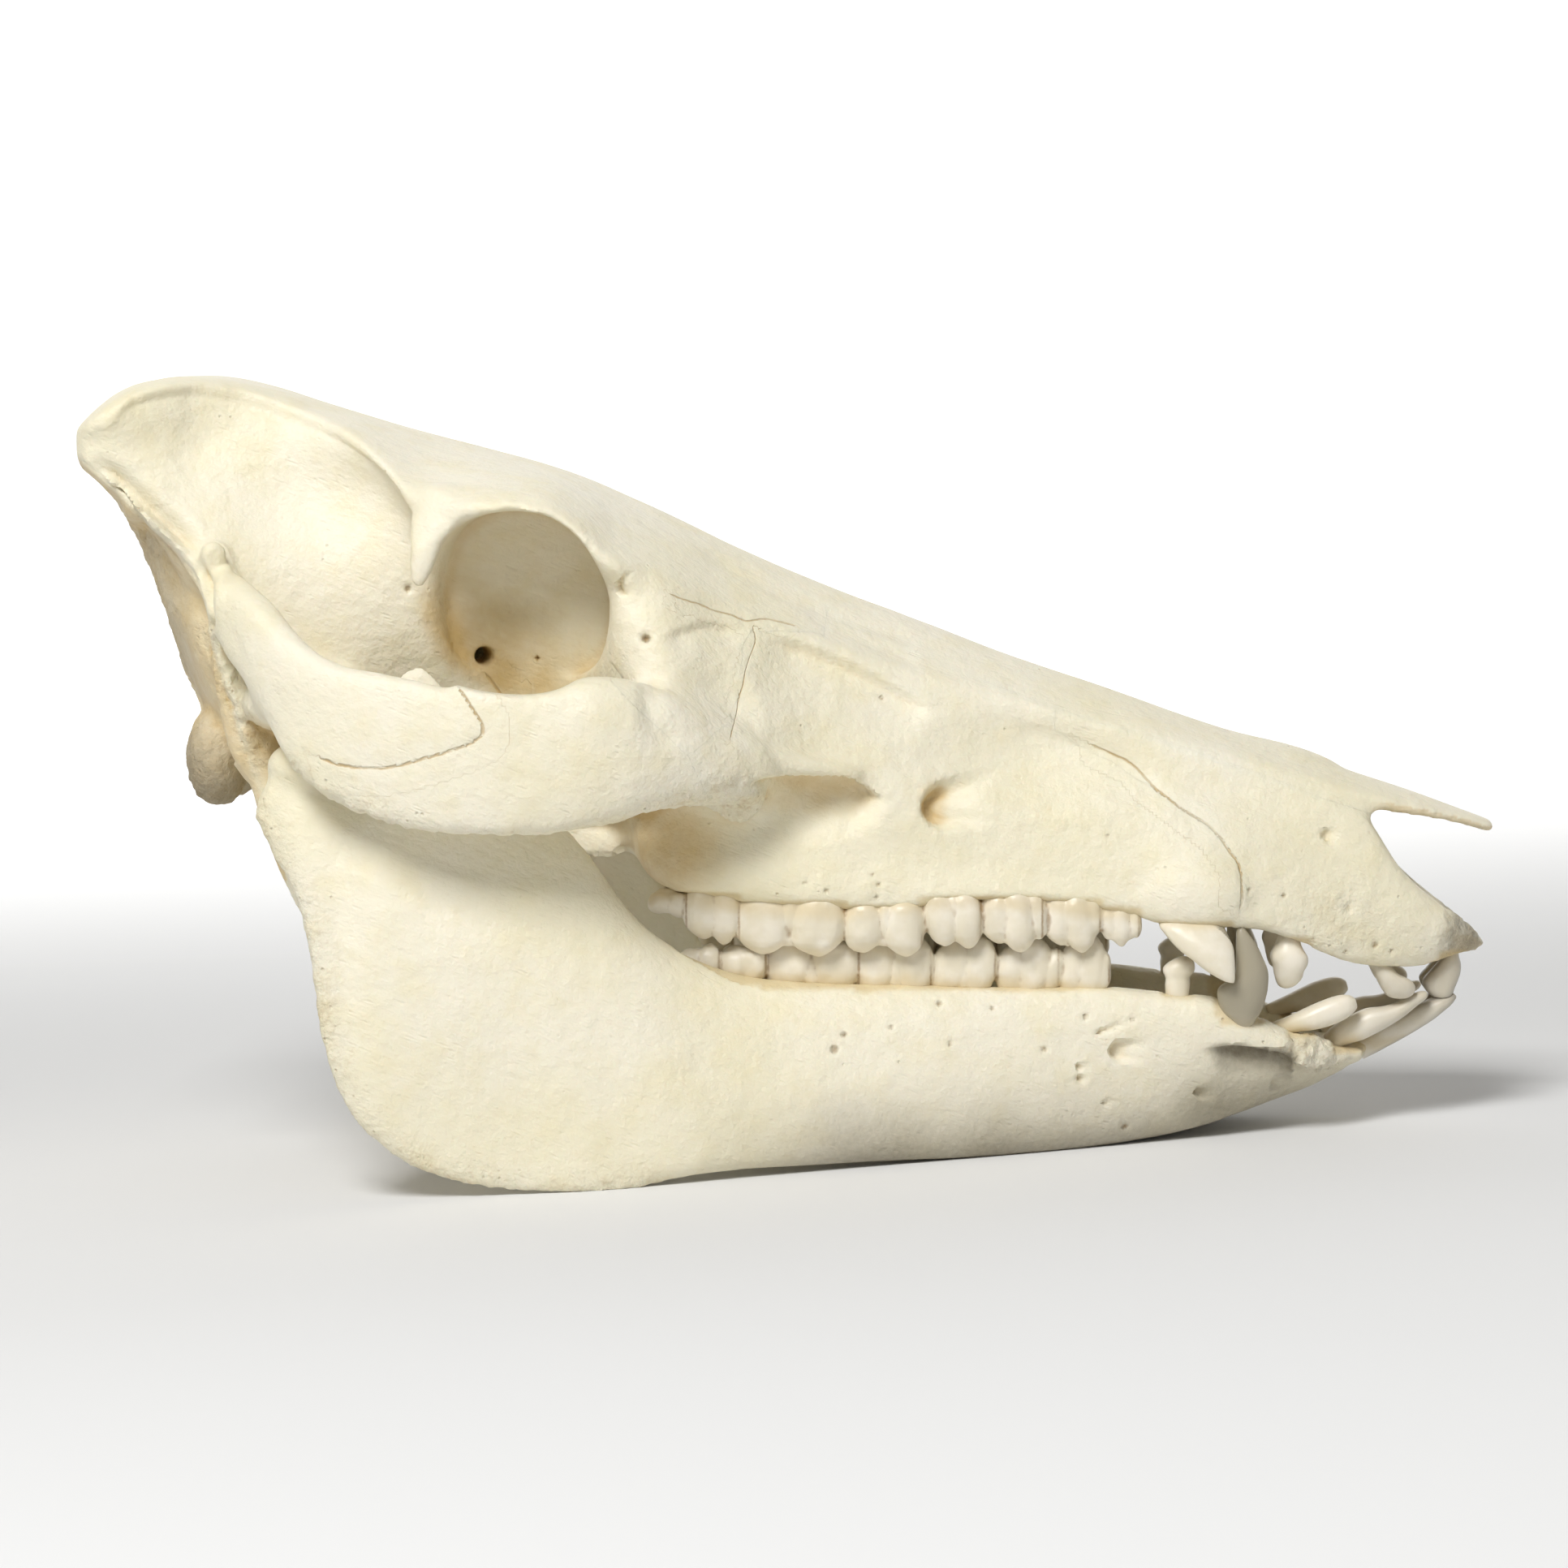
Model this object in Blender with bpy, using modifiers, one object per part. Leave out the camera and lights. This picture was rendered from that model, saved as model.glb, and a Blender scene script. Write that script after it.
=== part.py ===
"""Skull of a young pig, life size, lying as it rests with the jaw closed.

The snout points along +X and up is +Z. Sizes are in millimetres and a mesh is scaled to metres
when it is made. The forms are drawn level with the row of cheek teeth, then tipped and set down
so that the skull rests on the angles of the jaw and the underside of the chin.
"""
import math

import bmesh
import bpy
import numpy as np
from mathutils import Matrix, Vector

MM = 0.001

# How the skull lies
REST_PITCH = math.radians(2.8)
FLAT_DEPTH = 0.6
GAP = 0.3

# Resolution of the bone surfaces
VOXEL = 1.15
SMOOTHING_ROUNDS = 3
SKULL_TRIANGLES = 4700
JAW_TRIANGLES = 2350
BALL_SUBDIVISIONS = 4
# Sides of a crown with one lobe and with two
TOOTH_SIDES = (8, 12)
# How far a cutter runs past the bone, and the sharpest corner that a wider cutter follows
CUTTER_REACH = 200.0
MITER_LIMIT = 0.4

# Guide lines of the skull, (x, y, z), each on the left side and read along x
ROOF = [(-149, 0, 156), (-145, 0, 160.8), (-138, 0, 163.8), (-126, 0, 165), (-117, 0, 163.5),
        (-83, 0, 154.5), (-48, 0, 144.5), (-31, 0, 137.5), (-13, 0, 129), (5, 0, 121.5),
        (56, 0, 102.5), (90, 0, 91), (116, 0, 83), (121, 0, 72), (129, 0, 60), (137, 0, 52.5),
        (143, 0, 48.5), (146, 0, 46)]
ROOF_EDGE = [(-149, 24, 154), (-145, 30, 156.5), (-141, 31, 159), (-136, 29.5, 161.6),
             (-129, 26, 163.2), (-121, 20, 163), (-113, 16.5, 161.5), (-106, 17, 159),
             (-98, 21, 155.5), (-90, 27, 152), (-82, 33, 146.5), (-76, 39, 141), (-70, 43, 138.5),
             (-60, 46, 138.5), (-50, 46, 138), (-42, 45, 134), (-35, 42, 129), (-26, 33, 127),
             (-12, 26, 119.5), (5, 21, 112.5), (22, 17, 106), (55, 14, 96), (90, 13, 86),
             (119, 12, 75), (129, 12.5, 61), (137, 10.5, 54), (143, 7, 49.5), (146, 4, 46.5)]
FLANK_HIGH = [(-149, 26, 151), (-145, 31, 151), (-141, 31.5, 150.5), (-130, 28, 149),
              (-121, 23.5, 149), (-105, 23, 145), (-88, 26, 141), (-79, 29, 135), (-71, 24, 126),
              (-60, 17, 120), (-46, 20, 119), (-39, 31, 119), (-33, 41, 120), (-27, 41, 119),
              (-12, 32, 113), (5, 25, 108), (22, 20.5, 102), (55, 16, 90), (90, 15.5, 79),
              (119, 15, 71), (129, 14.5, 59), (137, 12.5, 53), (143, 8.5, 49), (146, 5, 46)]
FLANK_MIDDLE = [(-149, 26, 148.5), (-145, 31, 147), (-141, 31.5, 143), (-135, 33, 137),
                (-129, 35, 131), (-121, 37, 126), (-112, 34, 121), (-100, 31, 117),
                (-88, 29, 113.5), (-74, 24, 108), (-55, 17, 104.5), (-46, 20, 103.5),
                (-38, 33, 105), (-32, 43, 104), (-27, 46, 99.5), (-19, 47, 93), (-10, 45, 88),
                (-2, 38, 85), (6, 32, 84), (22, 27.5, 81.5), (55, 21.5, 76), (90, 20, 72),
                (119, 17, 60), (129, 16, 54), (137, 13.5, 50), (143, 9, 47.5), (146, 5, 45.5)]
FLANK_LOW = [(-149, 23, 146.5), (-145, 29.5, 144), (-141, 30, 140), (-135, 33, 134), (-129, 32, 124),
             (-121, 36, 112), (-112, 33, 96), (-104, 30, 92), (-89, 22, 90), (-75, 15, 89),
             (-47, 16, 86), (-39, 24, 84), (-33, 30, 81), (-28, 32, 75), (-11, 36, 72), (5, 31, 70),
             (22, 28.5, 66.5), (39, 26.5, 64.5), (72, 24.5, 60.5), (86, 26, 60), (98, 23, 58),
             (119, 18, 54), (129, 16, 48.5), (137, 13, 46), (143, 8.5, 45.5), (146, 5, 45)]
GUM = [(-149, 17, 145.5), (-145, 22, 142.5), (-141, 22, 137), (-136, 22, 128), (-130, 22, 116),
       (-123, 24, 99), (-116, 18, 86.5), (-98, 14, 83.5), (-65, 8, 80.5), (-47, 9, 77),
       (-40, 16, 73.5), (-34, 24, 67.5), (-28, 28, 60.5), (-20, 31, 57.5), (5, 30, 54.5),
       (22, 28.5, 54), (39, 27.5, 56), (55, 25, 55.5), (72, 23, 52.5), (86, 24.5, 51), (98, 22, 50),
       (106, 20, 47), (119, 16, 42), (129, 12.5, 41), (137, 9, 42), (143, 6, 43.5), (146, 4, 44.5)]
BASE = [(-149, 0, 145), (-145, 0, 141.5), (-141, 0, 131), (-135, 0, 117), (-130, 0, 99.5),
        (-125, 0, 90), (-118, 0, 85), (-100, 0, 82), (-66, 0, 78.5), (-48, 0, 74.5), (-38, 0, 69),
        (-31, 0, 62), (-22, 0, 59), (5, 0, 59.5), (56, 0, 59), (90, 0, 56), (119, 0, 48),
        (137, 0, 45), (146, 0, 44.5)]
SKULL_LINES = (ROOF, ROOF_EDGE, FLANK_HIGH, FLANK_MIDDLE, FLANK_LOW, GUM, BASE)
SKULL_ENDS = (-148.6, 147.4)
STATION_STEP = 3.0
RING_SPAN = 4

# Nasal plate that runs out over the nose, (x, half width, top height, thickness)
NASAL_PLATE = [(70, 13.5, 97, 6), (100, 13, 87.5, 5), (119, 12.5, 81.5, 3.6), (132, 9.5, 77.3, 3.0),
               (141, 6, 73.8, 2.6), (148.5, 3, 70.8, 2.2)]
NASAL_DROP = 4.5
NASAL_UNDERCUT = 0.94

# Curved bars of bone, (x, y, z, half thickness, half height), with rounded ends
BAR_END_TAPER = 0.55
BAR_END_REACH = 0.8
ARCH_SQUARENESS = 2.6
ARCH = [(-117, 36, 121, 4, 5), (-110, 44, 114, 4.5, 7.6), (-103, 50.5, 106.5, 4.5, 9),
        (-96, 55.5, 99, 4.2, 11.2), (-88.5, 58.5, 93.8, 4, 13.8), (-78, 61, 90.2, 3.8, 15),
        (-66.5, 62.3, 88, 3.8, 15), (-58.5, 62.3, 88.8, 4, 16), (-50.5, 61.5, 88, 4.5, 15.5),
        (-42, 59.5, 88.5, 6, 15), (-35, 56, 90, 8, 15.3), (-26, 50, 89.5, 9, 12.8),
        (-16, 43, 87, 9, 9.7), (-6, 37, 83.5, 7, 6.5)]
BROW_HORN = [(-68, 38, 138, 5, 9), (-71.5, 41.5, 132, 3.2, 5.2), (-73.8, 43.5, 127, 2.2, 3),
             (-74.6, 44, 122.5, 1.3, 1.5)]
CHEEK_HORN = [(-57, 61, 97, 3, 4), (-60.5, 61.8, 103, 2.2, 2.6), (-63, 61.8, 106, 1.2, 1.3)]
EAR_RIDGE = [(-118, 37.5, 129, 3, 2.6), (-119.5, 36.5, 118, 3, 2.6), (-117, 34.5, 104, 4, 3.5),
             (-113.5, 32, 90, 4.5, 4), (-111.5, 32, 82.5, 2.4, 2)]
NECK_HORN = [(-110, 29, 95, 5, 5), (-107, 31, 80, 4, 4.5), (-103.5, 31.5, 66, 3, 3.6),
             (-100, 31, 54, 1.6, 2)]
WING_PLATE = [(-66, 9, 84, 2.6, 5), (-56, 11, 77, 2.4, 7), (-45, 13, 71, 2.6, 7.5),
              (-36, 16, 69, 3, 6)]
CHEEK_CREST = [(-20, 44.5, 88, 3, 3.5), (-8, 40.5, 87, 3, 3), (4, 34.5, 84.5, 2.8, 2.6),
               (14, 30, 82.5, 2, 2)]

# Rounded masses, (centre, radii)
NECK_KNUCKLE = ((-121.5, 13, 85), (7, 10, 11))
JOINT_SHELF = ((-99, 39, 99), (14, 20, 8))
EAR_BULB = ((-97, 17, 76), (8, 7, 15))
CANINE_SWELL = ((85, 22.5, 57), (12, 5.5, 8))

# Hollows cut out of the skull
ORBIT_OUTLINE = [(-71.8, 125), (-68, 133.5), (-59, 137.4), (-48, 136.6), (-40, 130), (-36, 118.5),
                 (-38.5, 107), (-46, 102), (-59, 102), (-69, 106), (-72.3, 115)]
ORBIT_DEPTH = (18.5, 80)
JOINT_SOCKET = ((-98, 42, 85.5), (9.6, 10.5, 6.4))
NECK_HOLLOW = ((-166, 0, 128), (25, 26, 42))
SPINE_HOLE = ((-134, 0, 95), (20, 10, 9.5))
THROAT_HOLE = ((-44, 0, 68), (20, 8, 8))
NERVE_HOLE = [(22, 22, 78, 3.4, 4.5), (33, 27, 76.5, 3.6, 4.8), (46, 33, 75, 4.5, 6)]
SIGHT_HOLE = [(-68, 6, 107, 1.8, 1.8), (-62, 24, 106, 2.1, 2.1)]
# Nose passage, (x, half width, floor, ceiling)
NOSE_PASSAGE = [(72, 8, 66, 88), (86, 10, 59, 86), (104, 10.5, 53, 82), (117, 10.5, 50, 78),
                (128, 10, 48.5, 72.5), (138, 7.5, 47.5, 69.5), (152, 5, 47.5, 64)]

# Shallow presses of the surface, (centre, radii, depth toward the middle plane)
SKULL_PRESSES = [((-14, 41, 96), (12, 14, 12), 4.5), ((8, 33, 77.5), (14, 12, 5.5), 4.5),
                 ((45, 19, 84), (40, 12, 13), 2.6), ((-98, 27, 140), (26, 14, 14), 2.2)]
JAW_PRESSES = [((-60, 56, 10), (26, 12, 30), 1.5), ((-66, 52, 68), (22, 12, 22), 2.0)]

# Jaw half: matched points of its upper and lower edge, (x, y, z, thickness)
JAW_UPPER = [(-107, 44.5, 80, 5), (-103, 43, 87, 8), (-98, 42.5, 89, 10), (-93, 43, 87.5, 8),
             (-88, 44, 85.5, 5), (-84, 44.5, 93, 4), (-79, 45, 104, 3.4), (-74.5, 45, 106.5, 3.4),
             (-70.5, 45, 104, 3.4), (-64, 44, 94, 4.5), (-56, 43, 83.5, 5.5),
             (-47.5, 41.5, 75.5, 6.5), (-40, 40, 67, 8), (-34.5, 38.5, 58.5, 9), (-28, 36, 51, 11),
             (-20, 32.5, 45.5, 13), (-8, 29, 41, 15), (10, 26.5, 39.2, 15), (30, 24, 38.5, 15),
             (47, 22, 38.2, 14), (62, 20.5, 38, 13), (78, 19.5, 36.5, 13), (92, 19, 35, 13),
             (101, 17, 30, 12), (112, 13, 25.5, 11), (122, 8, 23.5, 9)]
JAW_LOWER = [(-108.5, 44.5, 75, 5), (-104.5, 47, 67, 6), (-99.5, 50, 59, 6.5), (-96.5, 52, 48, 7),
             (-94, 55, 32, 7), (-90.5, 56, 20, 7.5), (-86, 57, 13, 8), (-79.5, 57, 7, 8),
             (-72, 56.5, 2.5, 8), (-63, 56, 0, 8), (-53, 54.5, -1.4, 8), (-42, 53, -1.9, 8),
             (-32, 50.5, -1.7, 8.5), (-25.5, 49, 0.3, 10), (-18, 47, 1.6, 11), (-8, 43.5, 2.3, 12),
             (6, 39, 2.5, 13), (22, 34, 2.6, 14), (38, 29, 2.6, 14.5), (54, 24, 3.0, 15),
             (68, 19.5, 4.2, 15), (81, 15.5, 6.0, 14), (92, 12.5, 8.8, 14), (101, 10.5, 11.8, 14),
             (111, 8.5, 15.5, 13), (121, 6, 21, 10)]
JAW_KNUCKLE = ((-98, 42, 85), (8.4, 8.6, 5.6))
JAW_SQUARENESS = 3.2

# Bridge of the chin, (x, half width, bottom, top), and the notch in its rear edge
CHIN = [(40, 22, 5, 10), (55, 18, 5, 13), (70, 17, 5.5, 19), (85, 16.5, 8, 23),
        (100, 14, 12.5, 24.5), (112, 10.5, 17, 25), (123, 7, 21.5, 26)]
CHIN_NOTCH = ((32, 0, 14), (33, 17.5, 40))

# Cheek teeth: (x from, x to, y, width, gum height, tip height, lobes, how pointed)
UPPER_CHEEK_TEETH = [
    (-28.5, -20.8, 26.5, 9, 57, 52.5, 1, 0.4), (-21.5, -9.8, 26.0, 12, 56.5, 47.0, 1, 0.4),
    (-10.2, 12.0, 25.6, 13, 54.0, 44.6, 2, 0.5), (12.2, 28.0, 25.2, 12, 54.5, 44.8, 2, 0.5),
    (28.2, 40.2, 24.6, 11, 56.0, 46.0, 2, 0.5), (40.4, 53.0, 24.2, 9, 56.0, 45.6, 1, 0.9),
    (53.2, 65.0, 23.2, 7, 55.5, 45.4, 1, 0.9), (65.2, 73.0, 22.4, 5.5, 53.5, 46.2, 1, 0.7)]
LOWER_CHEEK_TEETH = [
    (-22.5, -14.2, 25.0, 8, 40.0, 46.6, 1, 0.2), (-14.4, -4.6, 23.5, 9.5, 39.5, 47.0, 1, 0.2),
    (-4.4, 14.8, 21.6, 10, 38.5, 47.6, 2, 0.3), (15.0, 29.8, 21.2, 9.5, 38.0, 47.6, 2, 0.3),
    (30.0, 43.2, 20.6, 8.5, 38.0, 47.8, 2, 0.3), (43.4, 56.4, 20.2, 6.5, 37.5, 48.0, 1, 0.6),
    (56.6, 67.0, 19.8, 5.5, 37.5, 48.0, 1, 0.6), (78.8, 84.2, 19.0, 4.5, 36.5, 43.6, 1, 0.5)]
ROOT_DEPTH = 4.0
BITE_GAP = 0.8
# Crown sections, (share of the height, size along the row, size across it)
CROWN_SECTIONS = [(0.05, 0.88, 0.9), (0.6, 1.0, 1.0)]
CROWN_SQUARENESS = 0.7
CROWN_WAIST = 0.2
CUSP_DIP = (0.1, 0.22)
CUSP_TAPER = (0.78, 0.2, 0.6)
ROOT_SIZE = 0.84
TOOTH_LEAN = 0.3

# Front teeth as tapering bars, (x, y, z, half width across, half height)
UPPER_FRONT_TEETH = [
    [(82, 21, 60, 3.2, 5.5), (84.5, 25, 52.5, 3.4, 7.6), (88, 27, 47, 2.9, 4.6),
     (90.6, 28, 43, 2, 2.6), (92.6, 28, 39.8, 0.5, 0.6)],
    [(104, 15.8, 50, 2.8, 3), (104.7, 16.8, 46, 3.2, 4), (105.2, 17, 42, 3, 3.8),
     (105.3, 17, 38.6, 2, 2.4), (105.2, 16.8, 37.4, 1, 1)],
    [(119, 10.5, 47, 3, 3), (124, 11.5, 40.8, 2.6, 2.8), (128.5, 11.2, 37.4, 2.2, 2.2),
     (131.8, 10.5, 35.6, 1.1, 1.1)],
    [(134.5, 3.9, 47.5, 3, 3.2), (137.4, 3.9, 43, 3.3, 4), (138.2, 3.9, 38.5, 3.3, 4.2),
     (137.8, 3.8, 34.8, 2.4, 3), (137.6, 3.8, 33.8, 1, 1)]]
LOWER_FRONT_TEETH = [
    [(93, 18, 24, 3, 3.2), (94.6, 20, 31, 3.2, 3.9), (95.3, 21, 37.2, 2.9, 4.6),
     (96, 22, 43, 2, 3.6), (94.8, 22.6, 48.6, 0.5, 0.6)],
    [(103, 14, 26.5, 2.3, 2.5), (110, 14.9, 30.6, 2.5, 2.5), (116, 14.6, 32.9, 2.2, 2.1),
     (118.8, 14.3, 33.7, 1.2, 1.1)],
    [(105, 8, 19.5, 2.8, 3), (117, 9.3, 25.5, 3, 3.1), (127, 9.2, 30.2, 2.6, 2.5),
     (133.5, 8.7, 32.9, 1.4, 1.3)],
    [(108, 3.6, 16, 2.8, 3.3), (122, 3.8, 22.3, 3, 3.5), (132, 3.8, 27.6, 2.8, 3.1),
     (139.6, 3.7, 31.4, 1.6, 1.6)]]

# Space of the nasal bones, (x, half width, underside)
NASAL_REGION = [(-13, 2.5, 121.5), (-6, 6, 118.6), (4, 9.5, 114.4), (22, 12.2, 107.7),
                (55, 13.8, 95.4), (90, 13.8, 83.5), (116, 14, 75.5), (150, 14.5, 63.5)]
NASAL_STATIONS = 24

# Other sutures, as outlines seen from the side, (x, z)
PREMAXILLA_OUTLINE = [
    (55.5, 91), (79, 77), (85.5, 72), (91.5, 67), (95, 62.5), (95.7, 57), (95, 50.5), (95, 30),
    (165, 30), (165, 110), (55.5, 110)]
CHEEK_BONE_OUTLINE = [(-106, 90), (-98.5, 91), (-91.5, 87), (-81.5, 85.2), (-72, 86.8), (-62, 90),
                      (-58, 92), (-57.8, 95.5), (-60.5, 98.5), (-62.5, 101), (-65.5, 104),
                      (-66, 112), (-45, 112), (-36.5, 107), (-28, 98), (-18.5, 88.5), (-15, 80),
                      (-15, 64), (-60, 62), (-106, 72)]
CHEEK_BONE_INNER = 37.0
MAXILLA_OUTLINE = [(7, 140), (7, 110), (-6, 111), (-7.5, 107), (-9.5, 96), (-10.5, 91), (-17, 86.5),
                   (-30, 78), (-40, 66), (-44, 40), (120, 40), (120, 140)]
OCCIPITAL_OUTLINE = [(-170, 185), (-133, 185), (-133, 152), (-123, 139), (-113.5, 131),
                     (-112.5, 118), (-110.5, 104), (-107, 92), (-103, 86), (-97, 76), (-93, 62),
                     (-93, 45), (-170, 45)]
FRONTAL_OUTLINE = [(-79, 185), (-79, 128), (-70, 114), (-60, 112.3), (-42, 112.3), (-33.5, 124.9),
                   (-30.5, 124.7), (-22, 122), (-12.8, 117.9), (-7.1, 113), (9, 111.5), (9, 185)]
LACRIMAL_OUTLINE = [(-47, 128), (-47, 108), (-37, 104), (-28, 96.5), (-18.5, 87.5), (-14, 86),
                    (-4, 90), (-4, 128)]
LACRIMAL_INNER = 24.0
TEMPORAL_OUTLINE = [(-114.5, 129), (-114.5, 88), (-107, 82), (-107, 76), (-50, 76), (-50, 118),
                    (-100, 129)]
TEMPORAL_INNER = 36.0

BONE_COLOUR = (0.82, 0.77, 0.64)


def clear_scene():
    for item in list(bpy.data.objects):
        bpy.data.objects.remove(item, do_unlink=True)


def new_collection(name):
    collection = bpy.data.collections.new(name)
    bpy.context.scene.collection.children.link(collection)
    return collection


def new_object(name, mesh, collection):
    item = bpy.data.objects.new(name, mesh)
    collection.objects.link(item)
    return item


def smooth_line(points, places):
    """Read a line that passes through the points without overshooting, at places along x."""
    table = np.array(points, dtype=float)
    x = table[:, 0]
    widths = np.diff(x)
    index = np.clip(np.searchsorted(x, places) - 1, 0, len(x) - 2)
    t = (places - x[index]) / widths[index]
    columns = [places]
    for values in table.T[1:]:
        slopes = np.diff(values) / widths
        before, after = slopes[:-1], slopes[1:]
        same_way = before * after > 0
        inner = np.zeros(len(before))
        inner[same_way] = 2 * before[same_way] * after[same_way] / (before + after)[same_way]
        tangents = np.concatenate(([slopes[0]], inner, [slopes[-1]]))
        start, end = values[index], values[index + 1]
        lead, trail = tangents[index] * widths[index], tangents[index + 1] * widths[index]
        columns.append((2 * t**3 - 3 * t**2 + 1) * start + (t**3 - 2 * t**2 + t) * lead
                       + (3 * t**2 - 2 * t**3) * end + (t**3 - t**2) * trail)
    return np.stack(columns, axis=1)


def curve_points(points, span, closed):
    """Catmull-Rom curve through the points, with span steps from each to the next."""
    table = np.array(points, dtype=float)
    if closed:
        padded = np.concatenate((table[-1:], table, table[:2]))
    else:
        padded = np.concatenate((2 * table[:1] - table[1:2], table, 2 * table[-1:] - table[-2:-1]))
    result = []
    for a, b, c, d in zip(padded, padded[1:], padded[2:], padded[3:]):
        for t in np.arange(span) / span:
            result.append(0.5 * (2 * b + (c - a) * t + (2 * a - 5 * b + 4 * c - d) * t**2
                                 + (3 * b - a - 3 * c + d) * t**3))
    if not closed:
        result.append(table[-1])
    return np.array(result)


def skin(name, rings, collection, pointed=False):
    """Closed surface over rings that hold the same number of points, in millimetres."""
    count = len(rings[0])
    points = [tuple(point * MM) for ring in rings for point in np.asarray(ring, dtype=float)]
    faces = []
    for level in range(len(rings) - 1):
        low, high = level * count, (level + 1) * count
        for side in range(count):
            after = (side + 1) % count
            faces.append((low + side, low + after, high + after, high + side))
    for ring in (range(count), range((len(rings) - 1) * count, len(rings) * count)):
        if pointed:
            faces.extend((a, b, len(points)) for a, b in zip(ring, [*ring[1:], ring[0]]))
            points.append(tuple(np.mean([points[index] for index in ring], axis=0)))
        else:
            faces.append(tuple(ring))
    mesh = bpy.data.meshes.new(name)
    mesh.from_pydata(points, [], faces)
    work = bmesh.new()
    work.from_mesh(mesh)
    bmesh.ops.recalc_face_normals(work, faces=work.faces)
    work.to_mesh(mesh)
    work.free()
    return new_object(name, mesh, collection)


def oval(half_width, half_height, count, power=2.0):
    """Points of a rounded section, full like a box where power is above 2."""
    angles = np.arange(count) / count * 2 * math.pi
    across = np.sign(np.cos(angles)) * np.abs(np.cos(angles)) ** (2 / power) * half_width
    upward = np.sign(np.sin(angles)) * np.abs(np.sin(angles)) ** (2 / power) * half_height
    return across, upward


def bar(name, path, side, collection, count=12, span=3, power=2.0):
    """Bar along a path of (x, y, z, half thickness, half height), its ends rounded off."""
    line = curve_points(path, span, closed=False)
    centres = line[:, :3] * (1, side, 1)
    headings = np.gradient(centres, axis=0)
    rings = []
    for centre, heading, (thick, tall) in zip(centres, headings, line[:, 3:]):
        forward = Vector(heading).normalized()
        upright = Vector((0, 0, 1)) if abs(forward.z) < 0.75 else Vector((1, 0, 0))
        sideways = upright.cross(forward).normalized()
        upright = forward.cross(sideways)
        across, upward = oval(thick, tall, count, power)
        rings.append([centre + a * np.array(sideways) + u * np.array(upright)
                      for a, u in zip(across, upward)])
    for end, step in ((0, -1), (-1, 1)):
        forward = np.array(Vector(headings[end]).normalized()) * step
        reach = min(line[end, 3], line[end, 4])
        tip = [centres[end] + (point - centres[end]) * BAR_END_TAPER
               + forward * reach * BAR_END_REACH for point in rings[end]]
        rings = [tip] + rings if end == 0 else rings + [tip]
    return skin(name, rings, collection)


def ball(name, mass, side, collection):
    """Ellipsoid from a centre and three radii."""
    centre, radii = mass
    mesh = bpy.data.meshes.new(name)
    work = bmesh.new()
    bmesh.ops.create_icosphere(work, subdivisions=BALL_SUBDIVISIONS, radius=1.0)
    place = Matrix.Translation(Vector((centre[0], centre[1] * side, centre[2])) * MM)
    bmesh.ops.transform(work, matrix=place @ Matrix.Diagonal(Vector(radii) * MM).to_4x4(),
                        verts=work.verts)
    work.to_mesh(mesh)
    work.free()
    return new_object(name, mesh, collection)


def prism(name, outline, low, high, collection):
    """Outline seen from the side, (x, z), carried from one y to another."""
    rings = [[(x, y, z) for x, z in outline] for y in (low, high)]
    return skin(name, rings, collection)


def grown(outline, distance):
    """Closed outline with each edge moved outward by the distance."""
    points = [Vector(point) for point in outline]
    area = sum(a.x * b.y - b.x * a.y for a, b in zip(points, points[1:] + points[:1]))
    turn = 1 if area > 0 else -1
    result = []
    for before, here, after in zip(points[-1:] + points, points, points[1:] + points[:1]):
        first = (here - before).normalized()
        second = (after - here).normalized()
        normal_one = Vector((first.y, -first.x)) * turn
        normal_two = Vector((second.y, -second.x)) * turn
        miter = (normal_one + normal_two).normalized()
        stretch = max(miter.dot(normal_one), MITER_LIMIT)
        result.append(tuple(here + miter * distance / stretch))
    return result


def settle(item):
    """Replace the mesh by what its modifiers make of it."""
    evaluated = item.evaluated_get(bpy.context.evaluated_depsgraph_get())
    mesh = bpy.data.meshes.new_from_object(evaluated)
    item.modifiers.clear()
    old = item.data
    item.data = mesh
    bpy.data.meshes.remove(old)


def gather(name, pieces, collection):
    """One object that holds the surfaces of all the pieces."""
    work = bmesh.new()
    for piece in pieces:
        work.from_mesh(piece.data)
        bpy.data.objects.remove(piece, do_unlink=True)
    mesh = bpy.data.meshes.new(name)
    work.to_mesh(mesh)
    work.free()
    return new_object(name, mesh, collection)


def combine(item, operation, other, solver="EXACT"):
    """Cut or join the item with another object and keep the result."""
    modifier = item.modifiers.new("Boolean", "BOOLEAN")
    modifier.operation = operation
    modifier.solver = solver
    modifier.object = other
    settle(item)


def remesh(item, voxel):
    modifier = item.modifiers.new("Remesh", "REMESH")
    modifier.mode = "VOXEL"
    modifier.voxel_size = voxel * MM
    settle(item)


def relax(item, rounds):
    modifier = item.modifiers.new("Smooth", "SMOOTH")
    modifier.factor = 0.5
    modifier.iterations = rounds
    settle(item)


def thin_out(item, triangles):
    """Bring the surface down to about the number of triangles."""
    item.data.calc_loop_triangles()
    modifier = item.modifiers.new("Decimate", "DECIMATE")
    modifier.ratio = triangles / len(item.data.loop_triangles)
    modifier.use_collapse_triangulate = True
    settle(item)


def keep_largest(item):
    """Drop every closed surface but the one with the most faces."""
    work = bmesh.new()
    work.from_mesh(item.data)
    unseen = set(work.verts)
    shells = []
    while unseen:
        stack = [unseen.pop()]
        shell = set(stack)
        while stack:
            for edge in stack.pop().link_edges:
                for vert in edge.verts:
                    if vert in unseen:
                        unseen.remove(vert)
                        shell.add(vert)
                        stack.append(vert)
        shells.append(shell)
    shells.sort(key=len)
    loose = [vert for shell in shells[:-1] for vert in shell]
    bmesh.ops.delete(work, geom=loose, context="VERTS")
    work.to_mesh(item.data)
    work.free()


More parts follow.
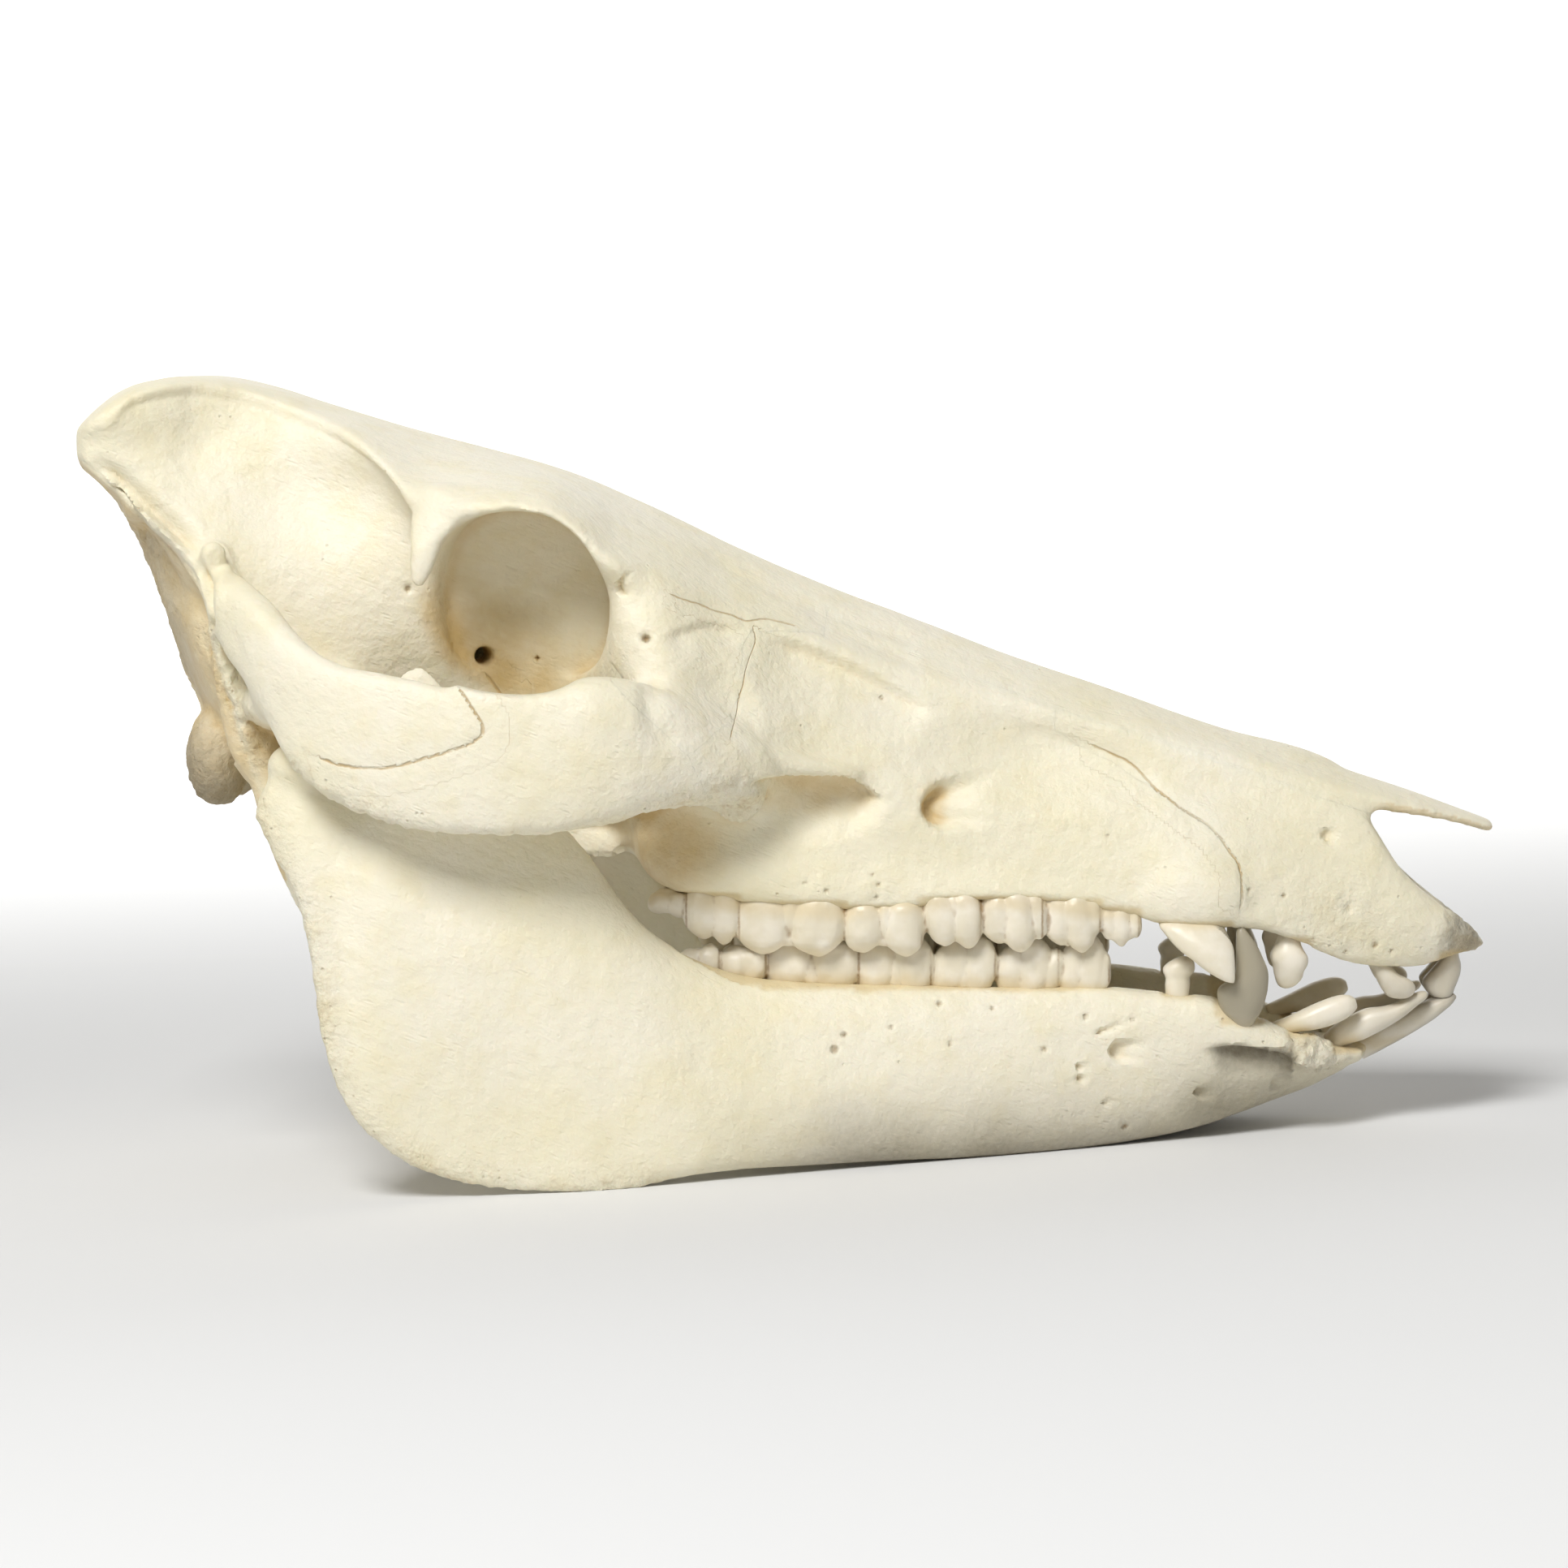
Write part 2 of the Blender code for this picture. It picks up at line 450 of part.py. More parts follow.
def press(item, presses):
    """Push the surface toward the middle plane inside soft ellipsoids, on both sides."""
    points = np.empty(len(item.data.vertices) * 3)
    item.data.vertices.foreach_get("co", points)
    points = points.reshape(-1, 3) / MM
    sides = np.sign(points[:, 1])
    for centre, radii, depth in presses:
        mirrored = points * (1, 0, 1) + np.outer(np.abs(points[:, 1]), (0, 1, 0))
        distance = (((mirrored - centre) / radii) ** 2).sum(axis=1)
        weight = np.clip(1 - distance, 0, 1) ** 2
        points[:, 1] -= sides * depth * weight
    item.data.vertices.foreach_set("co", (points * MM).ravel())
    item.data.update()


def skull_shell(collection):
    """The main body of the skull, lofted over the guide lines."""
    places = np.arange(SKULL_ENDS[0], SKULL_ENDS[1] + 0.1, STATION_STEP)
    lines = [smooth_line(line, places) for line in SKULL_LINES]
    rings = []
    for station in zip(*lines):
        left = [np.array(point) for point in station]
        right = [point * (1, -1, 1) for point in reversed(left[1:-1])]
        rings.append(curve_points(left + right, RING_SPAN, closed=True))
    return skin("skull_shell", rings, collection)


def nasal_plate(collection):
    """The paired nasal bones as one arched plate that ends in a point over the nose."""
    rings = []
    for x, half, top, thick in curve_points(NASAL_PLATE, 3, closed=False):
        across = np.linspace(-half, half, 9)
        height = top - NASAL_DROP * (across / NASAL_PLATE[0][1]) ** 2
        upper = [(x, y, z) for y, z in zip(across, height)]
        lower = [(x, y * NASAL_UNDERCUT, z - thick) for y, z in zip(across, height)]
        rings.append(upper + lower[::-1])
    return skin("nasal_plate", rings, collection)


def box_loft(name, stations, collection, power=3.0):
    """Loft over upright sections, (x, half width, bottom, top)."""
    rings = []
    for x, half, bottom, top in curve_points(stations, 3, closed=False):
        across, upward = oval(half, (top - bottom) / 2, 20, power)
        rings.append([(x, a, (top + bottom) / 2 + u) for a, u in zip(across, upward)])
    return skin(name, rings, collection)


def orbit_space(side, collection):
    """The eye socket, from its inner wall out past the cheek."""
    outline = [(x, z) for x, z in curve_points(ORBIT_OUTLINE, 3, closed=True)]
    low, high = sorted(side * y for y in ORBIT_DEPTH)
    return prism("orbit", outline, low, high, collection)


def build_skull(work):
    """Everything above the jaw as one surface."""
    pieces = [skull_shell(work), nasal_plate(work)]
    for side in (1, -1):
        for name, path in (("arch", ARCH), ("brow_horn", BROW_HORN), ("cheek_horn", CHEEK_HORN),
                           ("ear_ridge", EAR_RIDGE), ("neck_horn", NECK_HORN),
                           ("wing_plate", WING_PLATE), ("cheek_crest", CHEEK_CREST)):
            power = ARCH_SQUARENESS if name == "arch" else 2.0
            pieces.append(bar(name, path, side, work, power=power))
        for name, mass in (("neck_knuckle", NECK_KNUCKLE), ("joint_shelf", JOINT_SHELF),
                           ("ear_bulb", EAR_BULB), ("canine_swell", CANINE_SWELL)):
            pieces.append(ball(name, mass, side, work))
    skull = gather("skull", pieces, work)
    remesh(skull, VOXEL)
    cutters = [ball("neck_hollow", NECK_HOLLOW, 1, work), ball("spine_hole", SPINE_HOLE, 1, work),
               ball("throat_hole", THROAT_HOLE, 1, work),
               box_loft("nose_passage", NOSE_PASSAGE, work)]
    for side in (1, -1):
        cutters.append(orbit_space(side, work))
        cutters.append(ball("joint_socket", JOINT_SOCKET, side, work))
        cutters.append(bar("nerve_hole", NERVE_HOLE, side, work))
        cutters.append(bar("sight_hole", SIGHT_HOLE, side, work))
    for cutter in cutters:
        combine(skull, "DIFFERENCE", cutter, "MANIFOLD")
        bpy.data.objects.remove(cutter, do_unlink=True)
    keep_largest(skull)
    remesh(skull, VOXEL)
    press(skull, SKULL_PRESSES)
    relax(skull, SMOOTHING_ROUNDS)
    keep_largest(skull)
    thin_out(skull, SKULL_TRIANGLES)
    return skull


def jaw_half(side, collection):
    """One half of the jaw, a plate between its upper and lower edge."""
    upper = curve_points(JAW_UPPER, 3, closed=False)
    lower = curve_points(JAW_LOWER, 3, closed=False)
    across, upward = oval(1, 1, 20, JAW_SQUARENESS)
    rings = []
    for top, bottom in zip(upper, lower):
        middle = (top[:3] + bottom[:3]) / 2
        reach = (top[:3] - bottom[:3]) / 2
        ring = []
        for a, u in zip(across, upward):
            half = (top[3] + bottom[3]) / 4 + u * (top[3] - bottom[3]) / 4
            ring.append((middle + u * reach + (0, a * half, 0)) * (1, side, 1))
        rings.append(ring)
    return skin("jaw_half", rings, collection)


def build_jaw(work):
    pieces = [box_loft("chin", CHIN, work)]
    for side in (1, -1):
        pieces.append(jaw_half(side, work))
        pieces.append(ball("jaw_knuckle", JAW_KNUCKLE, side, work))
    jaw = gather("jaw", pieces, work)
    remesh(jaw, VOXEL)
    notch = ball("chin_notch", CHIN_NOTCH, 1, work)
    combine(jaw, "DIFFERENCE", notch, "MANIFOLD")
    bpy.data.objects.remove(notch, do_unlink=True)
    remesh(jaw, VOXEL)
    press(jaw, JAW_PRESSES)
    relax(jaw, SMOOTHING_ROUNDS)
    keep_largest(jaw)
    thin_out(jaw, JAW_TRIANGLES)
    return jaw


def cheek_tooth(tooth, side, collection, growth=0.0):
    """Crown with a waist between its lobes and a cusp over each."""
    start, end, y, width, gum, tip, lobes, pointed = tooth
    half = (end - start) / 2 - GAP / 4 + growth
    width += 2 * growth
    tip += growth * (1 if tip > gum else -1)
    height = tip - gum
    lean = TOOTH_LEAN * math.sin(start + side)
    angles = (np.arange(TOOTH_SIDES[lobes - 1]) + 0.5) / TOOTH_SIDES[lobes - 1] * 2 * math.pi
    along = np.sign(np.cos(angles)) * np.abs(np.cos(angles)) ** CROWN_SQUARENESS
    across = np.sign(np.sin(angles)) * np.abs(np.sin(angles)) ** CROWN_SQUARENESS
    valley = (1 + np.cos(math.pi * lobes * (along + 1))) / 2
    across = across * (1 - CROWN_WAIST * valley)
    dip = (CUSP_DIP[0] + CUSP_DIP[1] * pointed) * valley
    top = (1.0, CUSP_TAPER[0] - CUSP_TAPER[1] * pointed, CUSP_TAPER[2])
    rings = []
    for rise, size_along, size_across in [(-ROOT_DEPTH / abs(height), ROOT_SIZE, ROOT_SIZE),
                                          *CROWN_SECTIONS, top]:
        fall = dip if rise == top[0] else dip * 0
        rings.append([((start + end) / 2 + half * size_along * a + lean * rise,
                       side * (y + width / 2 * size_across * b), gum + height * (rise - f))
                      for a, b, f in zip(along, across, fall)])
    return skin("tooth", rings, collection, pointed=True)


def add_teeth(node, side, cheek_teeth, front_teeth, opposite_teeth, cutters):
    """Join teeth to the bone that they grow from."""
    teeth = new_collection("teeth_of_" + node.name)
    for tooth in cheek_teeth:
        crown = cheek_tooth(tooth, side, teeth)
        for facing in opposite_teeth:
            if facing[0] < tooth[1] + 1 and facing[1] > tooth[0] - 1:
                clearance = cheek_tooth(facing, side, cutters, BITE_GAP)
                combine(crown, "DIFFERENCE", clearance)
                bpy.data.objects.remove(clearance, do_unlink=True)
        keep_largest(crown)
    for path in front_teeth:
        bar("tooth", path, side, teeth, count=6, span=1)
    modifier = node.modifiers.new("Teeth", "BOOLEAN")
    modifier.operation = "UNION"
    modifier.solver = "EXACT"
    modifier.operand_type = "COLLECTION"
    modifier.collection = teeth
    settle(node)
    for tooth in list(teeth.objects):
        bpy.data.objects.remove(tooth, do_unlink=True)
    bpy.data.collections.remove(teeth)
    keep_largest(node)


def part_off(rest, name, region, wider_region, collection):
    """Take the region out of the rest as a node of its own, a fine suture apart."""
    node = new_object(name, rest.data.copy(), collection)
    combine(node, "INTERSECT", region)
    combine(rest, "DIFFERENCE", wider_region)
    for cutter in (region, wider_region):
        bpy.data.objects.remove(cutter, do_unlink=True)
    keep_largest(node)
    keep_largest(rest)
    return node


def nasal_region(growth, work):
    """Space of the nasal bones, from their suture up."""
    places = np.linspace(NASAL_REGION[0][0] - growth, NASAL_REGION[-1][0], NASAL_STATIONS)
    rings = []
    for x, half, floor in smooth_line(NASAL_REGION, places) + (0, growth, -growth):
        rings.append([(x, -half, floor), (x, half, floor), (x, half, CUTTER_REACH),
                      (x, -half, CUTTER_REACH)])
    return skin("nasal_region", rings, work)


def slab(low, high, floor, work):
    """Slab from one y to another, with its lower face at the floor."""
    return prism("slab", [(-CUTTER_REACH, floor), (CUTTER_REACH, floor),
                          (CUTTER_REACH, floor + 2 * CUTTER_REACH),
                          (-CUTTER_REACH, floor + 2 * CUTTER_REACH)], low, high, work)


def side_regions(name, outline, low, high, work):
    """The outline as a cutter, and the same a suture wider."""
    wider = prism(name + "_wide", grown(outline, GAP), low - GAP, high + GAP, work)
    return prism(name + "_space", outline, low, high, work), wider


def halves(node, left_name, right_name, collection, work):
    """Part a bone pair at the middle plane."""
    pair = []
    for side, name in ((1, left_name), (-1, right_name)):
        half = new_object(name, node.data.copy(), collection)
        low, high = sorted((side * GAP / 2, side * CUTTER_REACH))
        cutter = slab(low, high, -CUTTER_REACH, work)
        combine(half, "INTERSECT", cutter)
        bpy.data.objects.remove(cutter, do_unlink=True)
        keep_largest(half)
        pair.append(half)
    bpy.data.objects.remove(node, do_unlink=True)
    return pair


def across(rest, name, outline, collection, work):
    """Part off a bone that reaches from side to side."""
    regions = side_regions(name, outline, -CUTTER_REACH, CUTTER_REACH, work)
    return part_off(rest, name, *regions, collection)


def flanking(rest, name, outline, inner, parts, work):
    """Part off the left and right bones that lie outside the inner distance."""
    pair = []
    for side, word in ((1, "_left"), (-1, "_right")):
        low, high = sorted((side * inner, side * CUTTER_REACH))
        regions = side_regions(name + word, outline, low, high, work)
        pair.append(part_off(rest, name + word, *regions, parts))
    return pair


def part_skull(skull, parts, work):
    """Divide the skull along its sutures into named bones."""
    nasals = part_off(skull, "nasals", nasal_region(0, work), nasal_region(GAP, work), work)
    nodes = halves(nasals, "nasal_left", "nasal_right", parts, work)
    front = across(skull, "premaxillae", PREMAXILLA_OUTLINE, work, work)
    premaxillae = halves(front, "premaxilla_left", "premaxilla_right", parts, work)
    nodes += flanking(skull, "zygomatic", CHEEK_BONE_OUTLINE, CHEEK_BONE_INNER, parts, work)
    middle = across(skull, "maxillae", MAXILLA_OUTLINE, work, work)
    maxillae = halves(middle, "maxilla_left", "maxilla_right", parts, work)
    nodes += flanking(skull, "temporal", TEMPORAL_OUTLINE, TEMPORAL_INNER, parts, work)
    nodes.append(across(skull, "occipital", OCCIPITAL_OUTLINE, parts, work))
    brow = across(skull, "frontals", FRONTAL_OUTLINE, work, work)
    nodes += halves(brow, "frontal_left", "frontal_right", parts, work)
    nodes += flanking(skull, "lacrimal", LACRIMAL_OUTLINE, LACRIMAL_INNER, parts, work)
    braincase = new_object("braincase", skull.data.copy(), parts)
    bpy.data.objects.remove(skull, do_unlink=True)
    for side, maxilla, premaxilla in zip((1, -1), maxillae, premaxillae):
        add_teeth(maxilla, side, UPPER_CHEEK_TEETH, UPPER_FRONT_TEETH[:1], LOWER_CHEEK_TEETH, work)
        add_teeth(premaxilla, side, [], UPPER_FRONT_TEETH[1:], [], work)
    return [braincase] + nodes + premaxillae + maxillae


def set_down(nodes, jaw, parts, work):
    """Tip the skull to its resting pitch, stand it on the floor and cut the flats it rests on."""
    rest = bpy.data.objects.new("rest", None)
    parts.objects.link(rest)
    tip = Matrix.Rotation(REST_PITCH, 4, "Y")
    places = [tip @ vert.co for node in nodes for vert in node.data.vertices]
    ends = [place.x for place in places]
    lowest = min(place.z for place in places)
    rest.rotation_euler.y = REST_PITCH
    rest.location = (-(min(ends) + max(ends)) / 2, 0, -lowest - FLAT_DEPTH * MM)
    for node in nodes:
        node.parent = rest
    below = slab(-CUTTER_REACH, CUTTER_REACH, -2 * CUTTER_REACH, work)
    combine(jaw, "DIFFERENCE", below)
    bpy.data.objects.remove(below, do_unlink=True)
    keep_largest(jaw)


def bone_material(node):
    material = bpy.data.materials.new(node.name + "_bone")
    material.use_nodes = True
    shader = material.node_tree.nodes["Principled BSDF"]
    shader.inputs["Base Color"].default_value = (*BONE_COLOUR, 1)
    shader.inputs["Roughness"].default_value = 0.55
    shader.inputs["Metallic"].default_value = 0.0
    node.data.materials.clear()
    node.data.materials.append(material)


def main():
    clear_scene()
    parts = new_collection("pig_skull")
    work = new_collection("cutters")
    skull = build_skull(work)
    jaw = build_jaw(work)
    nodes = part_skull(skull, parts, work)
    mandible = new_object("mandible", jaw.data.copy(), parts)
    bpy.data.objects.remove(jaw, do_unlink=True)
    for side in (1, -1):
        add_teeth(mandible, side, LOWER_CHEEK_TEETH, LOWER_FRONT_TEETH, [], work)
    nodes.append(mandible)
    set_down(nodes, mandible, parts, work)
    for node in nodes:
        bone_material(node)


main()
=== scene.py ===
"""Looks of a young pig's skull: bones with sutures, holes and worn surfaces, and enamel teeth.

The bones are drawn in millimetres, level with the cheek teeth and with the snout along +X, and are
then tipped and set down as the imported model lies.
"""
import math

import bmesh
import bpy
import numpy as np
from mathutils import Matrix, Vector
from mathutils.kdtree import KDTree


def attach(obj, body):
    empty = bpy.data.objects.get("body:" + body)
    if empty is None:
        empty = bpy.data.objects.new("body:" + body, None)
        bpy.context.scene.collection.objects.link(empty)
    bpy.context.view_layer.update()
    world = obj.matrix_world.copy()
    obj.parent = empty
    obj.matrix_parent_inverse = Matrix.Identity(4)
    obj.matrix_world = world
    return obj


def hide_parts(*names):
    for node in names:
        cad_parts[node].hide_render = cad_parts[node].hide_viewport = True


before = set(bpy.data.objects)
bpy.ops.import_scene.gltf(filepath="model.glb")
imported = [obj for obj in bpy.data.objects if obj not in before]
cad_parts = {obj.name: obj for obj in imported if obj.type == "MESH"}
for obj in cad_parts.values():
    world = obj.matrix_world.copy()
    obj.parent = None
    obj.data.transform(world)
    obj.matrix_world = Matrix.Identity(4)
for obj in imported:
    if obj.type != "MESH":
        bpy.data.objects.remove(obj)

bl_info = {
    "name": "Pig skull",
    "version": (1, 0, 0),
    "blender": (4, 5, 0),
    "location": "3D View > Sidebar > Skull",
    "description": "Builds the bones, teeth and studio of a pig skull",
    "category": "Add Mesh",
}

MM = 0.001
SHARP_ANGLE = math.radians(50)
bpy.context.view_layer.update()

# How the skull lies on the floor
REST_PITCH = math.radians(2.8)
REST_SHIFT = (-5.1682, 0.0, -0.9795)
REST = (Matrix.Translation(Vector(REST_SHIFT) * MM) @ Matrix.Rotation(REST_PITCH, 4, "Y")
        @ Matrix.Scale(MM, 4))

# The camera, level with the teeth
VIEW_TARGET = (-2.064, 0.0, 78.127)
VIEW_AZIMUTH = math.radians(3.0)
VIEW_ELEVATION = math.radians(5.0)
VIEW_DISTANCE = 1000.0
VIEW_HALF_WIDTH = 167.5044
SENSOR_WIDTH = 36.0

# The studio in metres: the floor's profile, (y, z), where the wall starts to glow, and the lamps,
# (name, place, size)
FLOOR_PROFILE = [(-3.0, 0.0), (2.2, 0.0), (2.6, 0.05), (2.9, 0.2), (3.05, 0.45), (3.1, 0.8),
                 (3.1, 4.0)]
FLOOR_HALF_WIDTH = 4.0
GLOW_SPAN = (0.1, 1.0)
LAMPS = [("key", (-0.3, -0.98, 1.15), 0.55), ("fill", (0.9, -1.0, 0.45), 0.9)]
LAMP_AIM = (0, 0, 0.08)
SURROUND_COLOUR = (1.0, 0.99, 0.97, 1)

# Relief, (strength, height in metres), and light under the surface, (weight, radii, depth)
BONE_BUMP = (0.62, 0.0008)
BONE_SCATTER = (0.1, (1.0, 0.6, 0.35), 0.0015)
ENAMEL_BUMP = (0.3, 0.0003)
ENAMEL_SCATTER = (0.12, (1.0, 0.8, 0.6), 0.0012)

# Tones made from the colours of the settings, (colour, factors), and the stain of tooth necks. The
# dark tone of holes, the bluish dark tone of the chin, the low jaw and the back of the skull, and
# the dark tone of the front incisors are painted shade.
TONES = {
    "bone_pale": ("bone", (1.04, 1.05, 1.14)), "bone_yellow": ("bone", (0.97, 0.93, 0.78)),
    "bone_grey": ("bone", (0.86, 0.88, 0.9)), "speck": ("recess", (0.66, 0.58, 0.48)),
    "seam": ("recess", (0.8, 0.72, 0.6)), "hole": ("recess", (0.42, 0.33, 0.22)),
    "dirt_and_shade_tone": ("recess", (0.34, 0.4, 0.62)), "enamel_pale": ("enamel", (1.1, 1.12, 1.2)),
    "tusk": ("enamel", (0.5, 0.49, 0.46)), "grey": ("enamel", (0.44, 0.44, 0.47))}
TOOTH_NECK = (0.66, 0.5, 0.23)

# Guide lines of the skull, (x, y, z), each on the left side and read along x
ROOF = [(-149, 0, 156), (-145, 0, 160.8), (-138, 0, 163.8), (-126, 0, 165), (-117, 0, 163.5),
        (-83, 0, 154.5), (-48, 0, 144.5), (-31, 0, 137.5), (-13, 0, 129), (5, 0, 121.5),
        (56, 0, 102.5), (90, 0, 91), (116, 0, 83), (121, 0, 72), (129, 0, 60), (137, 0, 52.5),
        (143, 0, 48.5), (146, 0, 46)]
ROOF_EDGE = [(-149, 24, 154), (-145, 30, 156.5), (-141, 31, 159), (-136, 29.5, 161.6),
             (-129, 26, 163.2), (-121, 20, 163), (-113, 16.5, 161.5), (-106, 17, 159),
             (-98, 21, 155.5), (-90, 27, 152), (-82, 33, 146.5), (-76, 39, 141), (-70, 43, 138.5),
             (-60, 46, 138.5), (-50, 46, 138), (-42, 45, 134), (-35, 42, 129), (-26, 33, 127),
             (-12, 26, 119.5), (5, 21, 112.5), (22, 17, 106), (55, 14, 96), (90, 13, 86),
             (119, 12, 75), (129, 12.5, 61), (137, 10.5, 54), (143, 7, 49.5), (146, 4, 46.5)]
FLANK_HIGH = [(-149, 26, 151), (-145, 31, 151), (-141, 31.5, 150.5), (-130, 28, 149),
              (-121, 23.5, 149), (-105, 23, 145), (-88, 26, 141), (-79, 29, 135), (-71, 24, 126),
              (-60, 17, 120), (-46, 20, 119), (-39, 31, 119), (-33, 41, 120), (-27, 41, 119),
              (-12, 32, 113), (5, 25, 108), (22, 20.5, 102), (55, 16, 90), (90, 15.5, 79),
              (119, 15, 71), (129, 14.5, 59), (137, 12.5, 53), (143, 8.5, 49), (146, 5, 46)]
FLANK_MIDDLE = [(-149, 26, 148.5), (-145, 31, 147), (-141, 31.5, 143), (-135, 33, 137),
                (-129, 35, 131), (-121, 37, 126), (-112, 34, 121), (-100, 31, 117),
                (-88, 29, 113.5), (-74, 24, 108), (-55, 17, 104.5), (-46, 20, 103.5),
                (-38, 33, 105), (-32, 43, 104), (-27, 46, 99.5), (-19, 47, 93), (-10, 45, 88),
                (-2, 38, 85), (6, 32, 84), (22, 27.5, 81.5), (55, 21.5, 76), (90, 20, 72),
                (119, 17, 60), (129, 16, 54), (137, 13.5, 50), (143, 9, 47.5), (146, 5, 45.5)]
FLANK_LOW = [(-149, 23, 146.5), (-145, 29.5, 144), (-141, 30, 140), (-135, 33, 134),
             (-129, 32, 124), (-121, 36, 112), (-112, 33, 96), (-104, 30, 92), (-89, 22, 90),
             (-75, 15, 89), (-47, 16, 86), (-39, 24, 84), (-33, 30, 81), (-28, 32, 75),
             (-11, 36, 72), (5, 31, 70), (22, 28.5, 66.5), (39, 26.5, 64.5), (72, 24.5, 60.5),
             (86, 26, 60), (98, 23, 58), (119, 18, 54), (129, 16, 48.5), (137, 13, 46),
             (143, 8.5, 45.5), (146, 5, 45)]
GUM = [(-149, 17, 145.5), (-145, 22, 142.5), (-141, 22, 137), (-136, 22, 128), (-130, 22, 116),
       (-123, 24, 99), (-116, 18, 86.5), (-98, 14, 83.5), (-65, 8, 80.5), (-47, 9, 77),
       (-40, 16, 73.5), (-34, 24, 67.5), (-28, 28, 60.5), (-20, 31, 57.5), (5, 30, 54.5),
       (22, 28.5, 54), (39, 27.5, 56), (55, 25, 55.5), (72, 23, 52.5), (86, 24.5, 51),
       (98, 22, 50), (106, 20, 47), (119, 16, 42), (129, 12.5, 41), (137, 9, 42),
       (143, 6, 43.5), (146, 4, 44.5)]
BASE = [(-149, 0, 145), (-145, 0, 141.5), (-141, 0, 131), (-135, 0, 117), (-130, 0, 99.5),
        (-125, 0, 90), (-118, 0, 85), (-100, 0, 82), (-66, 0, 78.5), (-48, 0, 74.5), (-38, 0, 69),
        (-31, 0, 62), (-22, 0, 59), (5, 0, 59.5), (56, 0, 59), (90, 0, 56), (119, 0, 48),
        (137, 0, 45), (146, 0, 44.5)]
SKULL_LINES = (ROOF, ROOF_EDGE, FLANK_HIGH, FLANK_MIDDLE, FLANK_LOW, GUM, BASE)
SKULL_ENDS = (-148.6, 147.4)
STATION_STEP = 2.0
RING_SPAN = 6
SECTION_POINTS = 28
# Grain of the first rough form, in grains of the finished one
FORM_GRAIN = 1.25

# Nasal plate that runs out over the nose, (x, half width, top height, thickness)
NASAL_PLATE = [(70, 13.5, 97, 6), (100, 13, 87.5, 5), (119, 12.5, 81.5, 3.6),
               (132, 9.5, 77.3, 3.0), (141, 6, 73.8, 2.6), (148.5, 3, 70.8, 2.2)]
NASAL_DROP = 4.5
NASAL_UNDERCUT = 0.94

# Curved bars of bone, (x, y, z, half thickness, half height)
ARCH = [(-117, 36, 121, 4, 5), (-110, 44, 114, 4.5, 7.6), (-103, 50.5, 106.5, 4.5, 9),
        (-96, 55.5, 99, 4.2, 11.2), (-88.5, 58.5, 93.8, 4, 13.8), (-78, 61, 90.2, 3.8, 15),
        (-66.5, 62.3, 88, 3.8, 15), (-58.5, 62.3, 88.8, 4, 16), (-50.5, 61.5, 88, 4.5, 15.5),
        (-42, 59.5, 88.5, 6, 15), (-35, 56, 90, 8, 15.3), (-26, 50, 89.5, 9, 12.8),
        (-16, 43, 87, 9, 9.7), (-6, 37, 83.5, 7, 6.5)]
BROW_HORN = [(-68, 38, 138, 5, 9), (-71.5, 41.5, 132, 3.2, 5.2), (-73.8, 43.5, 127, 2.2, 3),
             (-74.6, 44, 122.5, 1.3, 1.5)]
CHEEK_HORN = [(-57, 61, 97, 3, 4), (-60.5, 61.8, 103, 2.2, 2.6), (-63, 61.8, 106, 1.2, 1.3)]
EAR_RIDGE = [(-118, 37.5, 129, 3, 2.6), (-119.5, 36.5, 118, 3, 2.6), (-117, 34.5, 104, 4, 3.5),
             (-113.5, 32, 90, 4.5, 4), (-111.5, 32, 82.5, 2.4, 2)]
NECK_HORN = [(-110, 29, 95, 5, 5), (-107, 31, 80, 4, 4.5), (-103.5, 31.5, 66, 3, 3.6),
             (-100, 31, 54, 1.6, 2)]
WING_PLATE = [(-66, 9, 84, 2.6, 5), (-56, 11, 77, 2.4, 7), (-45, 13, 71, 2.6, 7.5),
              (-36, 16, 69, 3, 6)]
CHEEK_CREST = [(-20, 44.5, 88, 3, 3.5), (-8, 40.5, 87, 3, 3), (4, 34.5, 84.5, 2.8, 2.6),
               (14, 30, 82.5, 2, 2)]
SKULL_BARS = (ARCH, BROW_HORN, CHEEK_HORN, EAR_RIDGE, NECK_HORN, WING_PLATE, CHEEK_CREST)
BAR_POINTS = 20
BAR_SPAN = 6
BAR_END_TAPER = 0.55
BAR_END_REACH = 0.8
ARCH_SQUARENESS = 2.6

# Rounded masses, (centre, radii)
NECK_KNUCKLE = ((-121.5, 13, 85), (7, 10, 11))
JOINT_SHELF = ((-99, 36, 98), (13, 16, 7))
EAR_BULB = ((-97, 17, 76), (8, 7, 15))
CANINE_SWELL = ((85, 22.5, 57), (12, 5.5, 8))

# Hollows cut out of the skull
ORBIT_OUTLINE = [(-71.8, 125), (-68, 133.5), (-59, 137.4), (-48, 136.6), (-40, 130), (-36, 118.5),
                 (-38.5, 107), (-46, 102), (-59, 102), (-69, 106), (-72.3, 115)]
ORBIT_DEPTH = (18.5, 80)
JOINT_SOCKET = ((-98, 42, 85.5), (9.6, 10.5, 6.4))
NECK_HOLLOW = ((-166, 0, 128), (25, 26, 42))
SPINE_HOLE = ((-134, 0, 95), (20, 10, 9.5))
THROAT_HOLE = ((-44, 0, 68), (20, 8, 8))
NERVE_HOLE = [(14, 18, 77.5, 1.6, 2.2), (22, 20.5, 76.7, 2.2, 3.0), (27.5, 22, 76, 1.6, 2.2)]
SIGHT_HOLE = [(-68, 6, 107, 1.8, 1.8), (-62, 24, 106, 2.1, 2.1)]
# Nose passage, (x, half width, floor, ceiling)
NOSE_PASSAGE = [(72, 8, 66, 88), (86, 10, 59, 86), (104, 10.5, 53, 82), (117, 10.5, 50, 78),
                (128, 10, 48.5, 72.5), (138, 7.5, 47.5, 69.5), (152, 5, 47.5, 64)]

